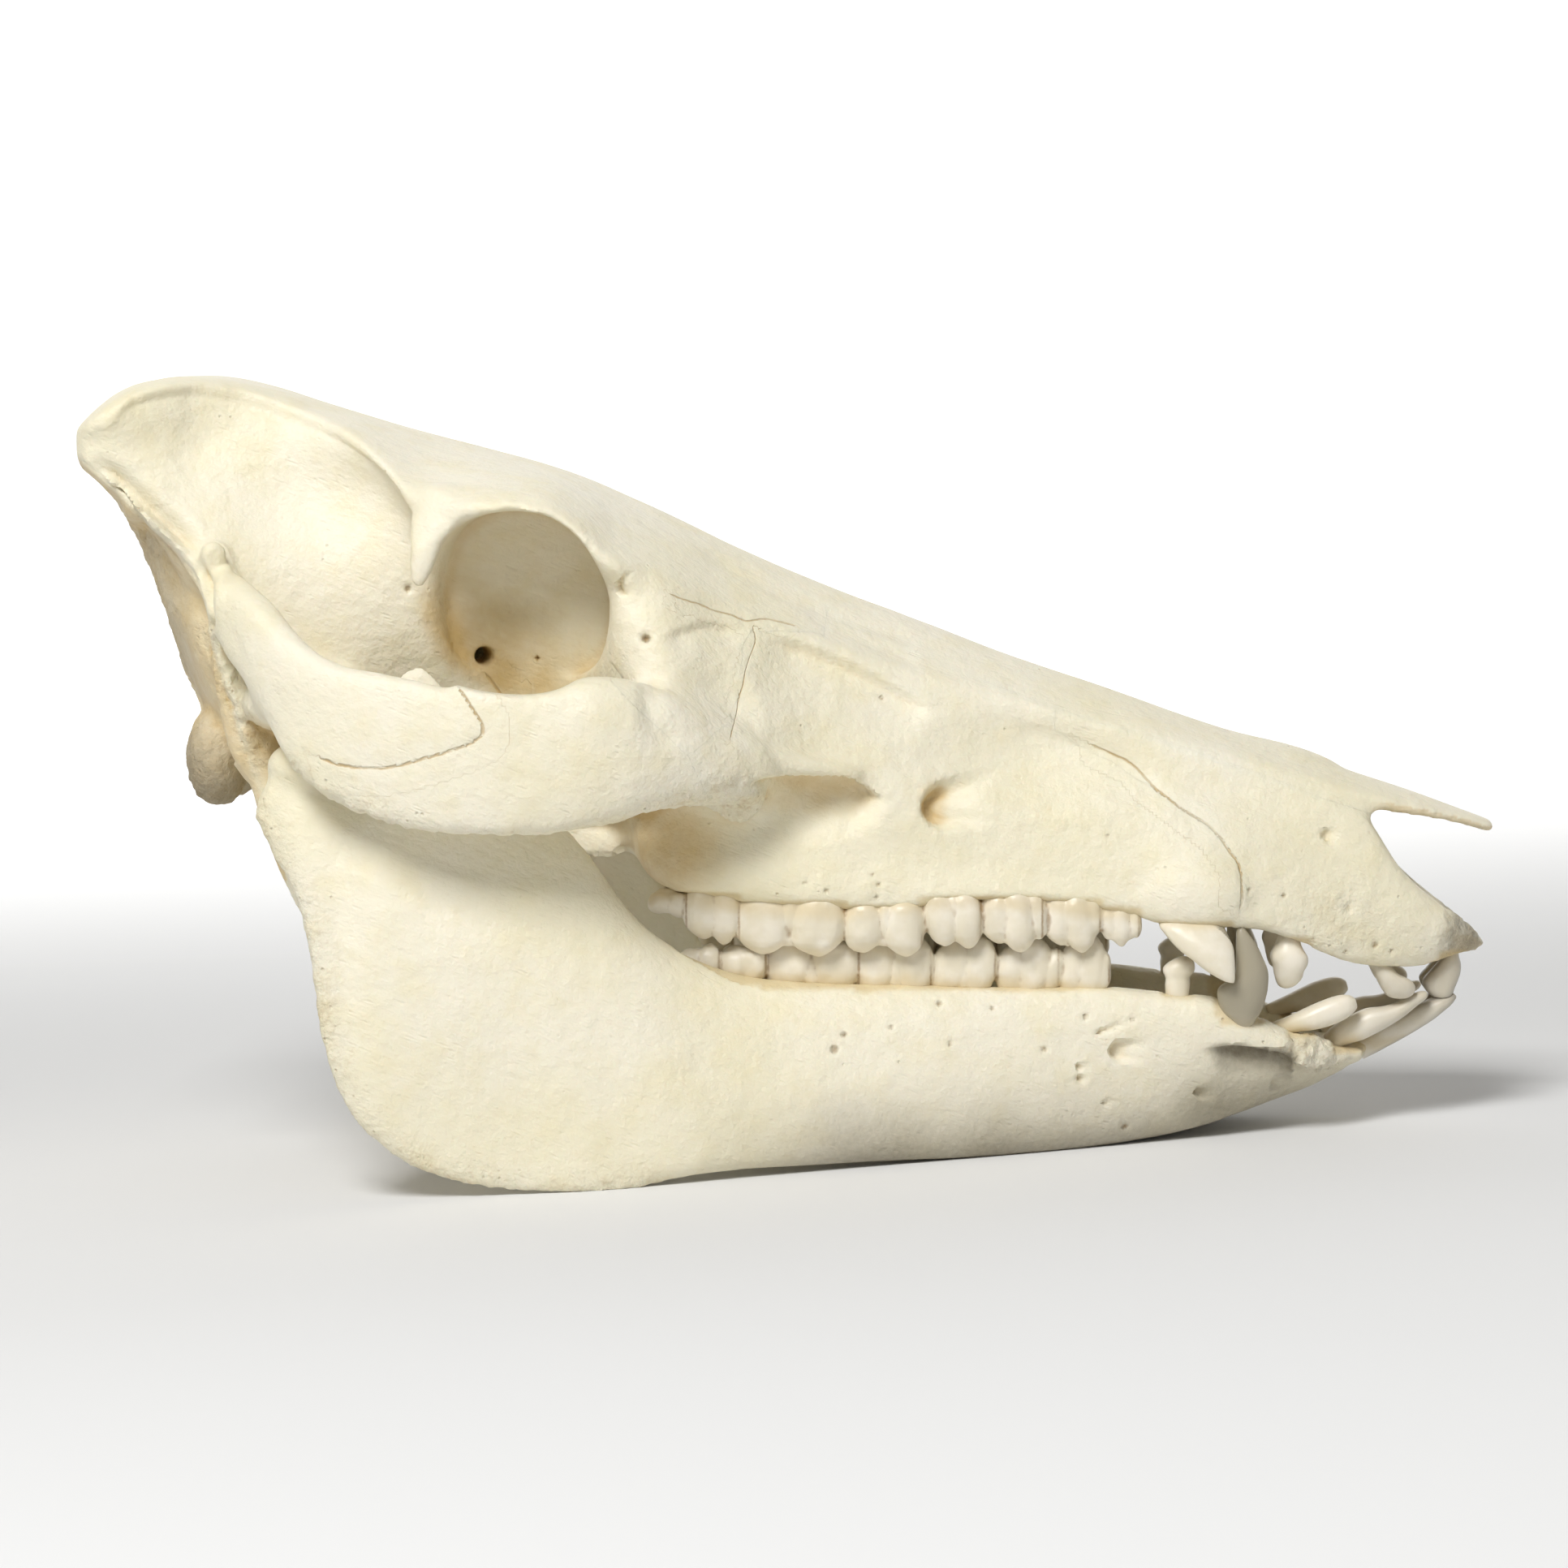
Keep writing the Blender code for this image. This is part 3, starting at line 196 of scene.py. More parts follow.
# Soft patches that are smoothed, (centre, radii)
FOSSA_PATCHES = [((-100, 26, 138), (34, 20, 24)), ((-84, 28, 122), (22, 18, 26))]
ARCH_PATCHES = [((-101, 50, 103), (15, 14, 16)), ((-20, 44, 99), (18, 14, 15)),
                ((-33, 46, 101), (14, 16, 16))]
# Soft patches of a look, (centre, radii, strength)
ROUGH_PATCHES = [((141, 8, 47), (8, 14, 9), 1.2), ((-124, 14, 82), (14, 16, 17), 0.9),
                 ((112, 14, 52), (22, 14, 12), 0.4), ((-9, 44, 77), (8, 12, 5), 1.3),
                 ((-12, 46, 82), (10, 12, 5), 0.8)]
# Patches of tan colour and painted shade in hollows and under ledges.
TAN_AND_SHADE_PATCHES = [((-33, 32, 67), (28, 22, 17), 0.8), ((-104, 36, 90), (12, 14, 18), 0.8),
                ((6, 31, 78.5), (17, 16, 7), 0.45), ((29.5, 22, 76), (5.5, 8, 7.5), 0.7),
                ((-122, 14, 82), (14, 16, 17), 0.9)]
# Patches of painted shade on the occipital condyle, and a darker tip of the snout.
SHADE_AND_GRIME_PATCHES = [((141.5, 8, 47.5), (8, 12, 8), 0.55), ((-124, 14, 80), (14, 16, 16), 0.75)]
# Painted shadow of the cheek arch on the upper ramus, in tan.
JAW_ARCH_SHADOW_PATCH = ((-62, 40, 60), (30, 8, 30))
CHIN_HEAP = ((109, 15, 24), (7, 12, 5))

# Shallow presses of the surface, (centre, radii, depth toward the middle plane)
SKULL_PRESSES = [((-14, 41, 96), (12, 14, 12), 4.5), ((7, 34, 76), (17, 13, 9), 3.0),
                 ((45, 19, 84), (40, 12, 13), 2.6), ((-98, 27, 140), (26, 14, 14), 2.2)]
JAW_PRESSES = [((-60, 56, 10), (26, 12, 30), 1.5), ((-66, 52, 68), (22, 12, 22), 2.0)]

# Jaw half: matched points of its upper and lower edge, (x, y, z, thickness)
JAW_UPPER = [(-107, 44.5, 80, 5), (-103, 43, 87, 8), (-98, 42.5, 89, 10), (-93, 43, 87.5, 8),
             (-88, 44, 85.5, 5), (-84, 44.5, 93, 4), (-79, 45, 104, 3.4), (-74.5, 45, 106.5, 3.4),
             (-70.5, 45, 104, 3.4), (-64, 44, 94, 4.5), (-56, 43, 83.5, 5.5),
             (-47.5, 41.5, 75.5, 6.5), (-40, 40, 67, 8), (-34.5, 38.5, 58.5, 9),
             (-28, 36, 51, 11), (-20, 32.5, 45.5, 13), (-8, 29, 41, 15), (10, 26.5, 39.2, 15),
             (30, 24, 38.5, 15), (47, 22, 38.2, 14), (62, 20.5, 38, 13), (78, 19.5, 36.5, 13),
             (92, 19, 35, 13), (101, 17, 30, 12), (112, 13, 25.5, 11), (122, 8, 23.5, 9)]
JAW_LOWER = [(-108.5, 44.5, 75, 5), (-104.5, 47, 67, 6), (-99.5, 50, 59, 6.5), (-96.5, 52, 48, 7),
             (-94, 55, 32, 7), (-90.5, 56, 20, 7.5), (-86, 57, 13, 8), (-79.5, 57, 7, 8),
             (-72, 56.5, 2.5, 8), (-63, 56, 0, 8), (-53, 54.5, -1.4, 8), (-42, 53, -1.9, 8),
             (-32, 50.5, -1.7, 8.5), (-25.5, 49, 0.3, 10), (-18, 47, 1.6, 11), (-8, 43.5, 2.3, 12),
             (6, 39, 2.5, 13), (22, 34, 2.6, 14), (38, 29, 2.6, 14.5), (54, 24, 3.0, 15),
             (68, 19.5, 4.2, 15), (81, 15.5, 6.0, 14), (92, 12.5, 8.8, 14), (101, 10.5, 11.8, 14),
             (111, 8.5, 15.5, 13), (121, 6, 21, 10)]
JAW_KNUCKLE = ((-98, 42, 85), (8.4, 8.6, 5.6))
JAW_SQUARENESS = 2.5
CHIN_SQUARENESS = 2.4
JAW_REAR_EDGE = [(-107, 76), (-103, 66), (-98, 56), (-95, 44), (-93.5, 32), (-90, 20), (-85, 12),
                 (-78, 6), (-70, 2), (-55, -1), (-40, -1.5), (-28, 0)]
# Bridge of the chin, (x, half width, bottom, top), and the notch in its rear edge
CHIN = [(40, 22, 5, 10), (55, 18, 5, 13), (70, 17, 5.5, 19), (85, 16.5, 8, 23),
        (100, 14, 12.5, 24.5), (112, 10.5, 17, 25), (123, 7, 21.5, 26)]
CHIN_NOTCH = ((32, 0, 14), (33, 17.5, 40))

# Cheek teeth: (kind, x from, x to, y, width, gum height, tip height)
UPPER_CHEEK_TEETH = [
    ("bud", -28.5, -20.8, 26.5, 9, 57.2, 52.5), ("heel", -21.6, -9.8, 26, 12, 57.6, 47),
    ("molar", -10.4, 12.1, 25.6, 13, 55.8, 44.4), ("molar", 12, 28.1, 25.2, 12, 54.8, 44.6),
    ("broad", 28.1, 40.3, 24.6, 11, 56.6, 46), ("blade", 40.3, 53.1, 24.2, 9, 56.6, 45.2),
    ("blade", 53, 65.1, 23.2, 7, 56, 45.2), ("peg", 65, 73.2, 22.4, 5.5, 54.2, 46)]
LOWER_CHEEK_TEETH = [
    ("bud", -22.5, -14.2, 25, 8, 41, 46.8), ("heel", -14.4, -4.5, 23.5, 9.5, 40, 47.2),
    ("molar", -4.6, 14.9, 21.6, 10, 39, 48.4), ("molar", 14.8, 29.9, 21.2, 9.5, 38.4, 48.4),
    ("broad", 29.8, 43.3, 20.6, 8.5, 38.4, 48.4), ("blade", 43.3, 56.5, 20.2, 6.5, 38, 48.4),
    ("blade", 56.4, 67.1, 19.8, 5.5, 38, 48.4)]
# Cusps of each kind of tooth, (place along, place across, half length, half width, height)
CUSPS = {
    "bud": [(0.3, 0.14, 0.34, 0.3, 0.85), (0.72, 0.16, 0.32, 0.3, 1),
            (0.5, -0.2, 0.42, 0.28, 0.8)],
    "heel": [(0.34, 0.22, 0.37, 0.32, 0.9), (0.72, 0.22, 0.31, 0.31, 1),
             (0.3, -0.22, 0.3, 0.28, 0.9), (0.72, -0.22, 0.28, 0.28, 0.9)],
    "molar": [(0.25, 0.22, 0.27, 0.3, 0.96), (0.75, 0.22, 0.27, 0.3, 1),
              (0.25, -0.23, 0.26, 0.28, 0.9), (0.74, -0.23, 0.25, 0.28, 0.9),
              (0.51, 0.32, 0.09, 0.14, 0.62), (0.5, 0, 0.13, 0.2, 0.8),
              (0.05, 0.1, 0.09, 0.25, 0.62), (0.96, 0.08, 0.08, 0.25, 0.6),
              (0.34, 0.34, 0.08, 0.12, 0.72)],
    "broad": [(0.29, 0.2, 0.32, 0.31, 0.92), (0.73, 0.19, 0.29, 0.31, 1),
              (0.45, -0.22, 0.36, 0.28, 0.85), (0.5, 0.33, 0.1, 0.14, 0.6)],
    "blade": [(0.27, 0.04, 0.29, 0.42, 0.86), (0.58, 0.07, 0.3, 0.44, 1),
              (0.84, 0.02, 0.2, 0.38, 0.74), (0.4, -0.1, 0.2, 0.34, 0.9)],
    "peg": [(0.2, 0, 0.25, 0.44, 0.78), (0.55, 0, 0.28, 0.46, 1), (0.87, 0, 0.18, 0.38, 0.74)]}
# Profiles of a cusp and of the crown under the cusps, (share of the height, size)
CUSP_PROFILE = [(-0.16, 0.5), (-0.06, 0.78), (0.05, 0.9), (0.2, 0.98), (0.4, 1), (0.58, 0.96),
                (0.72, 0.86), (0.83, 0.68), (0.92, 0.44), (0.97, 0.24), (1, 0.05)]
CROWN_PROFILE = [(-0.32, 0.6), (-0.05, 0.86), (0.08, 0.95), (0.25, 1), (0.5, 0.99), (0.66, 0.92),
                 (0.77, 0.72), (0.8, 0.4)]

CROWN_SHARE = (0.465, 0.355)
CUSP_SWAY = 0.25
CUSP_LEAN = 0.22
CUSP_SLANT = 0.07
SLANTED_KINDS = ("blade", "peg", "broad")
COLUMN_POINTS, COLUMN_SQUARENESS = 18, 2.35
FRONT_POINTS, FRONT_SQUARENESS = 20, 2.2

# Front teeth as matched points of both edges, (x, z, x, z, y, half thickness)
UPPER_FRONT_TEETH = [
    [(79.7, 54.1, 88.4, 54.2, 21, 2.6), (77.3, 51.4, 90.8, 51, 23.5, 3.3),
     (78.7, 49.1, 92, 48.6, 25, 3.3), (81.3, 46.3, 92.8, 46.8, 26.2, 3),
     (84.2, 44.2, 93, 44.8, 27.2, 2.5), (87.4, 41.8, 93.1, 42.6, 27.8, 1.9),
     (90.2, 40.2, 93.1, 40.6, 28, 1.2), (91.9, 39.6, 93, 39.6, 28, 0.5)],
    [(102.8, 49.4, 106.8, 48, 16, 2.4), (102.2, 47.4, 107.6, 45.6, 16.8, 3),
     (101.1, 45.3, 108.7, 43.9, 17.2, 3.4), (100.7, 43.7, 108.7, 42.2, 17.4, 3.4),
     (101.3, 41.9, 107.9, 40.8, 17.4, 3.1), (101.7, 39.9, 107.6, 39.3, 17.2, 2.6),
     (102.4, 37.9, 106.1, 37.7, 17, 1.8), (103.6, 37.1, 104.6, 37.1, 17, 0.7)],
    [(121.3, 42.3, 125.3, 42.9, 10.5, 2.4), (122.3, 40.4, 127, 40.7, 11, 2.8),
     (123.3, 38.7, 128.2, 39.5, 11.3, 2.8), (124.3, 36.7, 129.8, 38.7, 11.3, 2.7),
     (125.5, 35.1, 131.1, 37.9, 11.2, 2.5), (127, 34.4, 131.8, 36.6, 11, 2),
     (128.8, 34.3, 131.3, 35.3, 10.9, 1.3), (129.6, 34.3, 130.3, 34.6, 10.8, 0.5)],
    [(138.6, 46.2, 141.7, 45.3, 3.8, 2.8), (138.5, 43.8, 141.3, 43, 3.9, 3.2),
     (137.2, 41.6, 141.8, 41, 3.9, 3.5), (135.4, 39.5, 141.7, 39, 3.9, 3.6),
     (133.7, 37.5, 141.1, 37, 3.9, 3.5), (133.8, 36.1, 140.4, 35.2, 3.8, 3.3),
     (134.9, 34.6, 139.9, 33.8, 3.8, 2.6), (136.5, 33.5, 138.7, 33.1, 3.8, 1.2)]]
LOWER_FRONT_TEETH = [
    [(79.2, 33.4, 83.6, 33.4, 19, 2), (78.9, 36.5, 83.9, 36.3, 19, 2.2),
     (78.8, 38.2, 84.1, 38.1, 19, 2.2), (78.9, 39.4, 84.1, 39.7, 19, 2.2),
     (78.3, 40.8, 85, 40.8, 19, 2.5), (78.6, 41.9, 85.1, 42.3, 19, 2.4),
     (80.1, 43.1, 84.5, 43.4, 19, 1.8), (81.6, 43.9, 83.2, 44, 19, 0.7)],
    [(92.7, 27.1, 97.2, 28, 18.5, 2.4), (92.3, 30.7, 97.7, 30.6, 20.5, 3),
     (90.7, 32.5, 98.7, 32.4, 21.3, 3.3), (89.7, 35.3, 99.7, 35.4, 22, 3.3),
     (89.8, 37.8, 100.2, 38, 22.4, 3.2), (92.2, 39.7, 100.3, 40.3, 22.7, 3),
     (93.3, 41.4, 100, 42, 22.9, 2.8), (93.4, 44.3, 99.1, 44.2, 23.1, 2.4),
     (93.4, 47.4, 97.7, 47.1, 23.2, 1.8), (93.5, 49.9, 95.8, 49.7, 23.2, 1.1),
     (94.1, 51, 94.7, 51, 23.2, 0.4)],
    [(101.4, 29.4, 102.6, 26.3, 14, 2), (105.3, 31.1, 106.5, 27.5, 14.6, 2.5),
     (109.2, 33.1, 109.9, 28, 15, 2.8), (112.3, 34.5, 113.5, 28.9, 15, 2.8),
     (115.2, 35.4, 116.3, 30.1, 14.8, 2.6), (117.3, 35.5, 118.3, 31.5, 14.6, 2.1),
     (118.9, 34.8, 119.4, 32.8, 14.4, 1.1)],
    [(112.6, 25.8, 114.9, 22, 8, 2.8), (114.8, 28.2, 116.8, 23.9, 8.8, 3.1),
     (118.4, 30.6, 120.7, 25.2, 9.3, 3.2), (121.5, 32, 124.1, 26.9, 9.4, 3.1),
     (124.9, 32.4, 127.2, 28.7, 9.3, 2.9), (127.8, 33.2, 129.8, 30.5, 9.1, 2.6),
     (130.3, 34.5, 132.3, 32.6, 8.9, 2.2), (132.3, 35.5, 133.9, 33.8, 8.8, 1.7),
     (134, 35.7, 134.7, 34.8, 8.7, 0.8)],
    [(117.2, 24.3, 121.5, 20.3, 3.6, 2.8), (121.4, 26.4, 124.9, 22.2, 3.8, 3.1),
     (125.4, 28.5, 128.9, 24.4, 3.8, 3.2), (129.4, 30.5, 132.8, 26.8, 3.8, 3.2),
     (132.8, 32.3, 135.9, 28.8, 3.8, 3), (135.6, 33.5, 138.2, 30.7, 3.8, 2.8),
     (137.9, 34.2, 139.9, 32.2, 3.8, 2.4), (140, 34.9, 141.1, 33.9, 3.7, 1.3)]]
# Level of the gums at the front teeth, (x, z)
UPPER_FRONT_GUM = [(90, 52), (140, 45)]
LOWER_FRONT_GUM = [(90, 31), (125, 24)]

# Space of the nasal bones, (x, half width, underside)
NASAL_REGION = [(-13, 2.5, 121.5), (-6, 6, 118.6), (4, 9.5, 114.4), (22, 12.2, 107.7),
                (55, 13.8, 95.4), (90, 13.8, 83.5), (116, 14, 75.5), (150, 14.5, 63.5)]
# Other sutures, as outlines seen from the side, (x, z)
PREMAXILLA_OUTLINE = [(55.5, 91), (69, 83.4), (78.3, 77.7), (84.7, 73.6), (90.6, 68.9),
                      (93.8, 64.5), (94.6, 59.6), (94.2, 53), (95, 30), (165, 30), (165, 110),
                      (55.5, 110)]
CHEEK_BONE_OUTLINE = [(-106, 90), (-98, 90.6), (-88.5, 87), (-78.8, 86.6), (-70.5, 88.7),
                      (-62.5, 91.2), (-59.2, 93.3), (-59, 95.5), (-61, 98.6), (-63.1, 101.7),
                      (-65, 103.9), (-66, 112), (-45, 112), (-36.5, 107), (-28, 98), (-18.5, 88.5),
                      (-15, 80), (-15, 64), (-60, 62), (-106, 72)]
CHEEK_BONE_INNER = 37.0
MAXILLA_OUTLINE = [(7, 140), (7, 111), (-7.1, 113), (-8.4, 109), (-10.1, 98.2), (-10.6, 94),
                   (-16.6, 90.5), (-30, 78), (-40, 66), (-44, 40), (120, 40), (120, 140)]
CUTTER_REACH = 200.0
SUTURE_GAP = 0.02
BITE_GAP = 0.25
MIDLINE_GAP = 0.08
PIECE_TRIANGLES = 190000

# Carving: the share of a path that fades at its ends, the distance that counts as far away,
# the rounds of smoothing, and how far out and how close to the gum the tooth rows reach
PATH_FADE = 0.22
FAR = 5.0
FIRST_SMOOTHING = 4
BONE_HOLLOW_ROUNDS = 14
TOOTH_HOLLOW_ROUNDS = 8
TOOTH_ROW_OUT = 34
UPPER_GUM_TOP = 62
LOWER_GUM_BOTTOM = 22
SUTURE_DEPTH, SUTURE_WIDTH = 0.16, 0.8
SOCKET_RIM_DEPTH, SOCKET_RIM_WIDTH = 0.35, 1.2
# Wear of a surface, (height of the rough grain, size and height of the swells, seed)
SKULL_WEAR = (0.42, 22.0, 0.28, 1)
JAW_WEAR = (0.26, 24.0, 0.3, 11)

# Sides of the skull, (sign of y, word)
SIDES = ((1, "left"), (-1, "right"))

# Bones that are one with the braincase to the eye
CRANIUM_NODES = ("occipital", "frontal_left", "frontal_right", "lacrimal_left", "lacrimal_right",
                 "temporal_left", "temporal_right")

# Lines on the side of the skull, (x, z)
TEMPORAL_LINE = [(-142.6, 151.3), (-138.8, 157.2), (-135, 160.8), (-124.2, 163), (-114.3, 161.3),
                 (-103.9, 157.9), (-93.2, 153.4), (-84.7, 147.5), (-78.5, 141.3), (-76, 136),
                 (-75.2, 129.4), (-73.8, 124.6)]
REAR_EDGE = [(-148, 150), (-143, 145.6), (-137.8, 140.9), (-131.1, 134.7), (-125.6, 130.2),
             (-120.8, 124), (-118, 114), (-115.5, 105), (-113, 96), (-110, 86), (-106, 74)]
ARCH_LOW_EDGE = [(-99.6, 84.9), (-95.5, 80.3), (-84.1, 77.5), (-73.1, 72), (-57.8, 70.6),
                 (-44.2, 71.1), (-29.4, 73.3), (-18.8, 77), (-9, 76)]
EAR_STRIP = [(-119.8, 112.5), (-116.8, 105.5), (-114.3, 99.6), (-111.7, 94.3), (-109, 86)]
# Visible sutures, (strength, path)
FACE_SUTURES = [
    (1.1, CHEEK_BONE_OUTLINE[1:11]),
    (0.55, [(-25.4, 121.8), (-21.3, 119.5), (-17.8, 118.3), (-14.8, 116.8), (-11.3, 115.8),
            (-8.4, 114.5), (-4.7, 114.8), (-0.7, 113.9), (4, 112.5)]),
    (0.45, [(-7.6, 114.5), (-6.7, 112.2), (-6.4, 110.2), (-7.4, 107.2), (-8.1, 104.8),
            (-8.6, 101.6), (-9.4, 99), (-9.8, 95.8), (-10.1, 93.8), (-10.8, 88.4)]),
    (0.9, [(57, 91), (64, 87.5), (71.3, 84.3), (75.9, 79.7), (79.2, 77.2), (82.6, 74.7),
           (86, 72.7), (88, 71.3), (90.3, 68.8), (92.1, 66.2), (93.7, 64.2), (94.4, 61.2),
           (94.4, 57.8), (94.1, 54.7), (93.4, 51.8)])]
SIDE_STEPS = [
    ([(-6, 112.6), (0.8, 111), (8.3, 108.3), (14.8, 105.4), (20.9, 102.1), (26.8, 98.6),
      (32, 95)], 2.0, 1.6, 8.0),
    ([(-52, 71), (-44, 72), (-35, 74.6), (-28, 76.4), (-22, 77.3), (-16, 76.4), (-11, 73.4),
      (-7.5, 73.8), (-4, 77), (-1, 81)], 4.6, 0.9, 9.0),
    ([(-25.5, 112.5), (-19, 114.6), (-14.5, 114.8), (-7, 113.6)], 1.1, 1.5, 4.0),
    ([(38.6, 96.2), (53.9, 92.2), (68.9, 87.8), (76, 82.6), (82.7, 76.9)], 0.8, 3.0, 9.0),
    ([(-9, 81.8), (-4, 83.1), (0.6, 83), (5.6, 82.8), (11, 82.6), (13.8, 81.9), (16.2, 80.4),
      (18.6, 79), (22, 77.4)], 3.4, 0.9, 7.0),
    (REAR_EDGE, 1.8, 1.4, 14.0)]
# Grooves, with a height below zero, and ridges, (path, width, height)
SIDE_BANDS = [
    ([(-21.3, 129.4), (-10.9, 124.3), (0.5, 118.7), (18.7, 111.8), (33.8, 107.7)], 1.3, -0.8),
    ([(2.3, 115.8), (14.8, 110.5), (28.7, 103.8)], 1.4, -0.5),
    ([(-26.2, 107), (-25.8, 99.7), (-24.3, 94.3), (-18.5, 90.6)], 2.2, -1.0),
    ([(-140, 135), (-136.7, 130.9), (-130.2, 121.8), (-124.8, 114.4), (-119, 104)], 2.4, -4.0),
    ([(-141, 143), (-137.8, 139.6), (-130.7, 130.4), (-125.1, 121.3), (-121, 111)], 1.7, -3.4),
    ([(-146, 148), (-137.8, 143.4), (-131.1, 137.7), (-125.6, 133), (-120, 127)], 1.9, -3.0),
    ([(-121.3, 127.4), (-118.9, 123.5), (-118.2, 119), (-117.7, 115.3), (-119, 111)], 1.0, -2.2),
    ([(-143, 145.6), (-137.8, 140.9), (-131.1, 134.7), (-125.6, 130.2), (-120, 125)], 1.0, 1.3),
    ([(-142, 138.5), (-133.5, 127.5), (-128, 118.5), (-123, 106)], 1.2, 1.1),
    ([(-120.6, 127), (-117.5, 129.6), (-115.2, 126.4), (-115.3, 120), (-116, 113)], 1.2, 1.0)]

# Holes and pits, (x, z, radius, depth)
SKULL_HOLES = [(-28.1, 111.7, 0.95, 1.6), (-78.9, 120.8, 0.7, 1.2), (-53.2, 105.9, 0.6, 1.0),
               (19.5, 98.2, 0.5, 0.5), (8.4, 58.7, 0.5, 0.6), (17.9, 61.9, 0.45, 0.5),
               (19.1, 59.9, 0.5, 0.6), (18.7, 57.4, 0.6, 0.7), (66.6, 69.6, 0.45, 0.4),
               (122.8, 46.2, 0.7, 0.8), (116.6, 44.8, 0.6, 0.5), (126.2, 44.9, 0.5, 0.5),
               (103.3, 57.2, 0.5, 0.5), (96.1, 58.5, 0.5, 0.5), (4, 60.5, 0.5, 0.5)]
JAW_HOLES = [(62.2, 32.1, 0.65, 0.8), (71.9, 31.3, 0.5, 0.6), (34.3, 27.1, 0.6, 0.8),
             (53.7, 25.5, 0.6, 0.8), (31.8, 35.1, 0.6, 0.6), (42.7, 34.1, 0.5, 0.5),
             (12.2, 29.3, 0.7, 0.4), (10.3, 26.4, 0.9, 0.5), (21.9, 30.6, 0.5, 0.4),
             (70.5, 8.6, 0.7, 0.6)]
# Openings that face the snout, steep behind and shallow in front,
# (x of the rim, z, length, height, depth, rise)
SKULL_SCOOPS = [(27.4, 75.6, 15, 12, 4.2, 0.12), (111.2, 69.6, 4.2, 4, 1.6, -0.3),
                (116, 54, 4, 3, 0.7, 0.2), (-34.6, 121.6, 3.2, 5.4, 1.8, 0.3)]
JAW_SCOOPS = [(66.6, 25, 9, 5.6, 2.6, -0.05), (63.9, 28.4, 9, 1.8, 1.2, 0.35),
              (60, 21.8, 3.4, 2, 1.4, -0.1), (60, 19.3, 3.4, 1.8, 1.5, -0.1),
              (65.3, 13.8, 4, 2, 0.9, 0.2), (84.6, 15.8, 5.5, 3, 1.5, -0.15),
              (100.8, 16.4, 7, 4, 1.2, 0.2)]
CHIN_RIM = [(84.5, 25.2), (89, 26.2), (93.7, 26.4), (97.5, 25.9), (101.4, 25.7), (104.1, 25.1),
            (106.6, 23.6), (108.8, 21.6), (111.8, 21.8), (114.2, 21.2), (116.9, 21.9),
            (120, 22.4)]


def colour_setting(name, description, default):
    return bpy.props.FloatVectorProperty(name=name, description=description, subtype="COLOR",
                                         size=3, min=0.0, max=1.0, default=default)


class SkullSettings(bpy.types.PropertyGroup):
    """Sizes and colours of the skull."""

    voxel: bpy.props.FloatProperty(
        name="Bone detail", description="Grain size of the bone surfaces in millimetres",
        default=0.8, min=0.5, max=3.0)
    tooth_voxel: bpy.props.FloatProperty(
        name="Tooth detail", description="Grain size of the tooth surfaces in millimetres",
        default=0.36, min=0.2, max=1.0)
    bone: colour_setting("Bone", "Colour of clean bone", (0.86, 0.80, 0.60))
    # Tan colour painted into hollows, partly the bone's own tan and partly painted shade, and the
    # base of the tones of specks, seams, holes and painted shade.
    recess: colour_setting("Recess", "Colour of bone in hollows", (0.68, 0.50, 0.235))
    enamel: colour_setting("Enamel", "Colour of tooth enamel", (0.82, 0.75, 0.59))
    stain: colour_setting("Stain", "Colour of stains at the necks of the teeth",
                          (0.32, 0.19, 0.07))
    floor: colour_setting("Floor", "Colour of the studio floor", (0.80, 0.80, 0.795))
    key_power: bpy.props.FloatProperty(
        name="Key light", description="Power of the main light", subtype="POWER", default=18.0)
    fill_power: bpy.props.FloatProperty(
        name="Fill light", description="Power of the fill light", subtype="POWER", default=0.3)
    surround: bpy.props.FloatProperty(
        name="Surround", description="Strength of the light from all around", default=0.22)
    wall_glow: bpy.props.FloatProperty(
        name="Wall glow", description="Strength of the light on the wall behind", default=1.0)


def smooth_line(points, places):
    """Read a line that passes through the points without overshooting, at places along x."""
    table = np.array(points, dtype=float)
    x = table[:, 0]
    widths = np.diff(x)
    index = np.clip(np.searchsorted(x, places) - 1, 0, len(x) - 2)
    t = (places - x[index]) / widths[index]
    columns = [places]
    for values in table.T[1:]:
        slopes = np.diff(values) / widths
        before, after = slopes[:-1], slopes[1:]
        same_way = before * after > 0
        inner = np.zeros(len(before))
        inner[same_way] = 2 * before[same_way] * after[same_way] / (before + after)[same_way]
        tangents = np.concatenate(([slopes[0]], inner, [slopes[-1]]))
        start, end = values[index], values[index + 1]
        lead, trail = tangents[index] * widths[index], tangents[index + 1] * widths[index]
        columns.append((2 * t**3 - 3 * t**2 + 1) * start + (t**3 - 2 * t**2 + t) * lead
                       + (3 * t**2 - 2 * t**3) * end + (t**3 - t**2) * trail)
    return np.stack(columns, axis=1)


def curve_points(points, span, closed):
    """Catmull-Rom curve through the points, with span steps from each to the next."""
    table = np.array(points, dtype=float)
    if closed:
        padded = np.concatenate((table[-1:], table, table[:2]))
    else:
        padded = np.concatenate((2 * table[:1] - table[1:2], table, 2 * table[-1:] - table[-2:-1]))
    result = []
    for a, b, c, d in zip(padded, padded[1:], padded[2:], padded[3:]):
        for t in np.arange(span) / span:
            result.append(0.5 * (2 * b + (c - a) * t + (2 * a - 5 * b + 4 * c - d) * t**2
                                 + (3 * b - a - 3 * c + d) * t**3))
    if not closed:
        result.append(table[-1])
    return np.array(result)


def add_object(name, data):
    """Object in the scene that shows a mesh, a light or a camera."""
    item = bpy.data.objects.new(name, data)
    bpy.context.scene.collection.objects.link(item)
    return item


def drop_object(item):
    bpy.data.objects.remove(item, do_unlink=True)


def new_object(name, work):
    """Object in the scene from a finished bmesh."""
    mesh = bpy.data.meshes.new(name)
    work.to_mesh(mesh)
    work.free()
    return add_object(name, mesh)


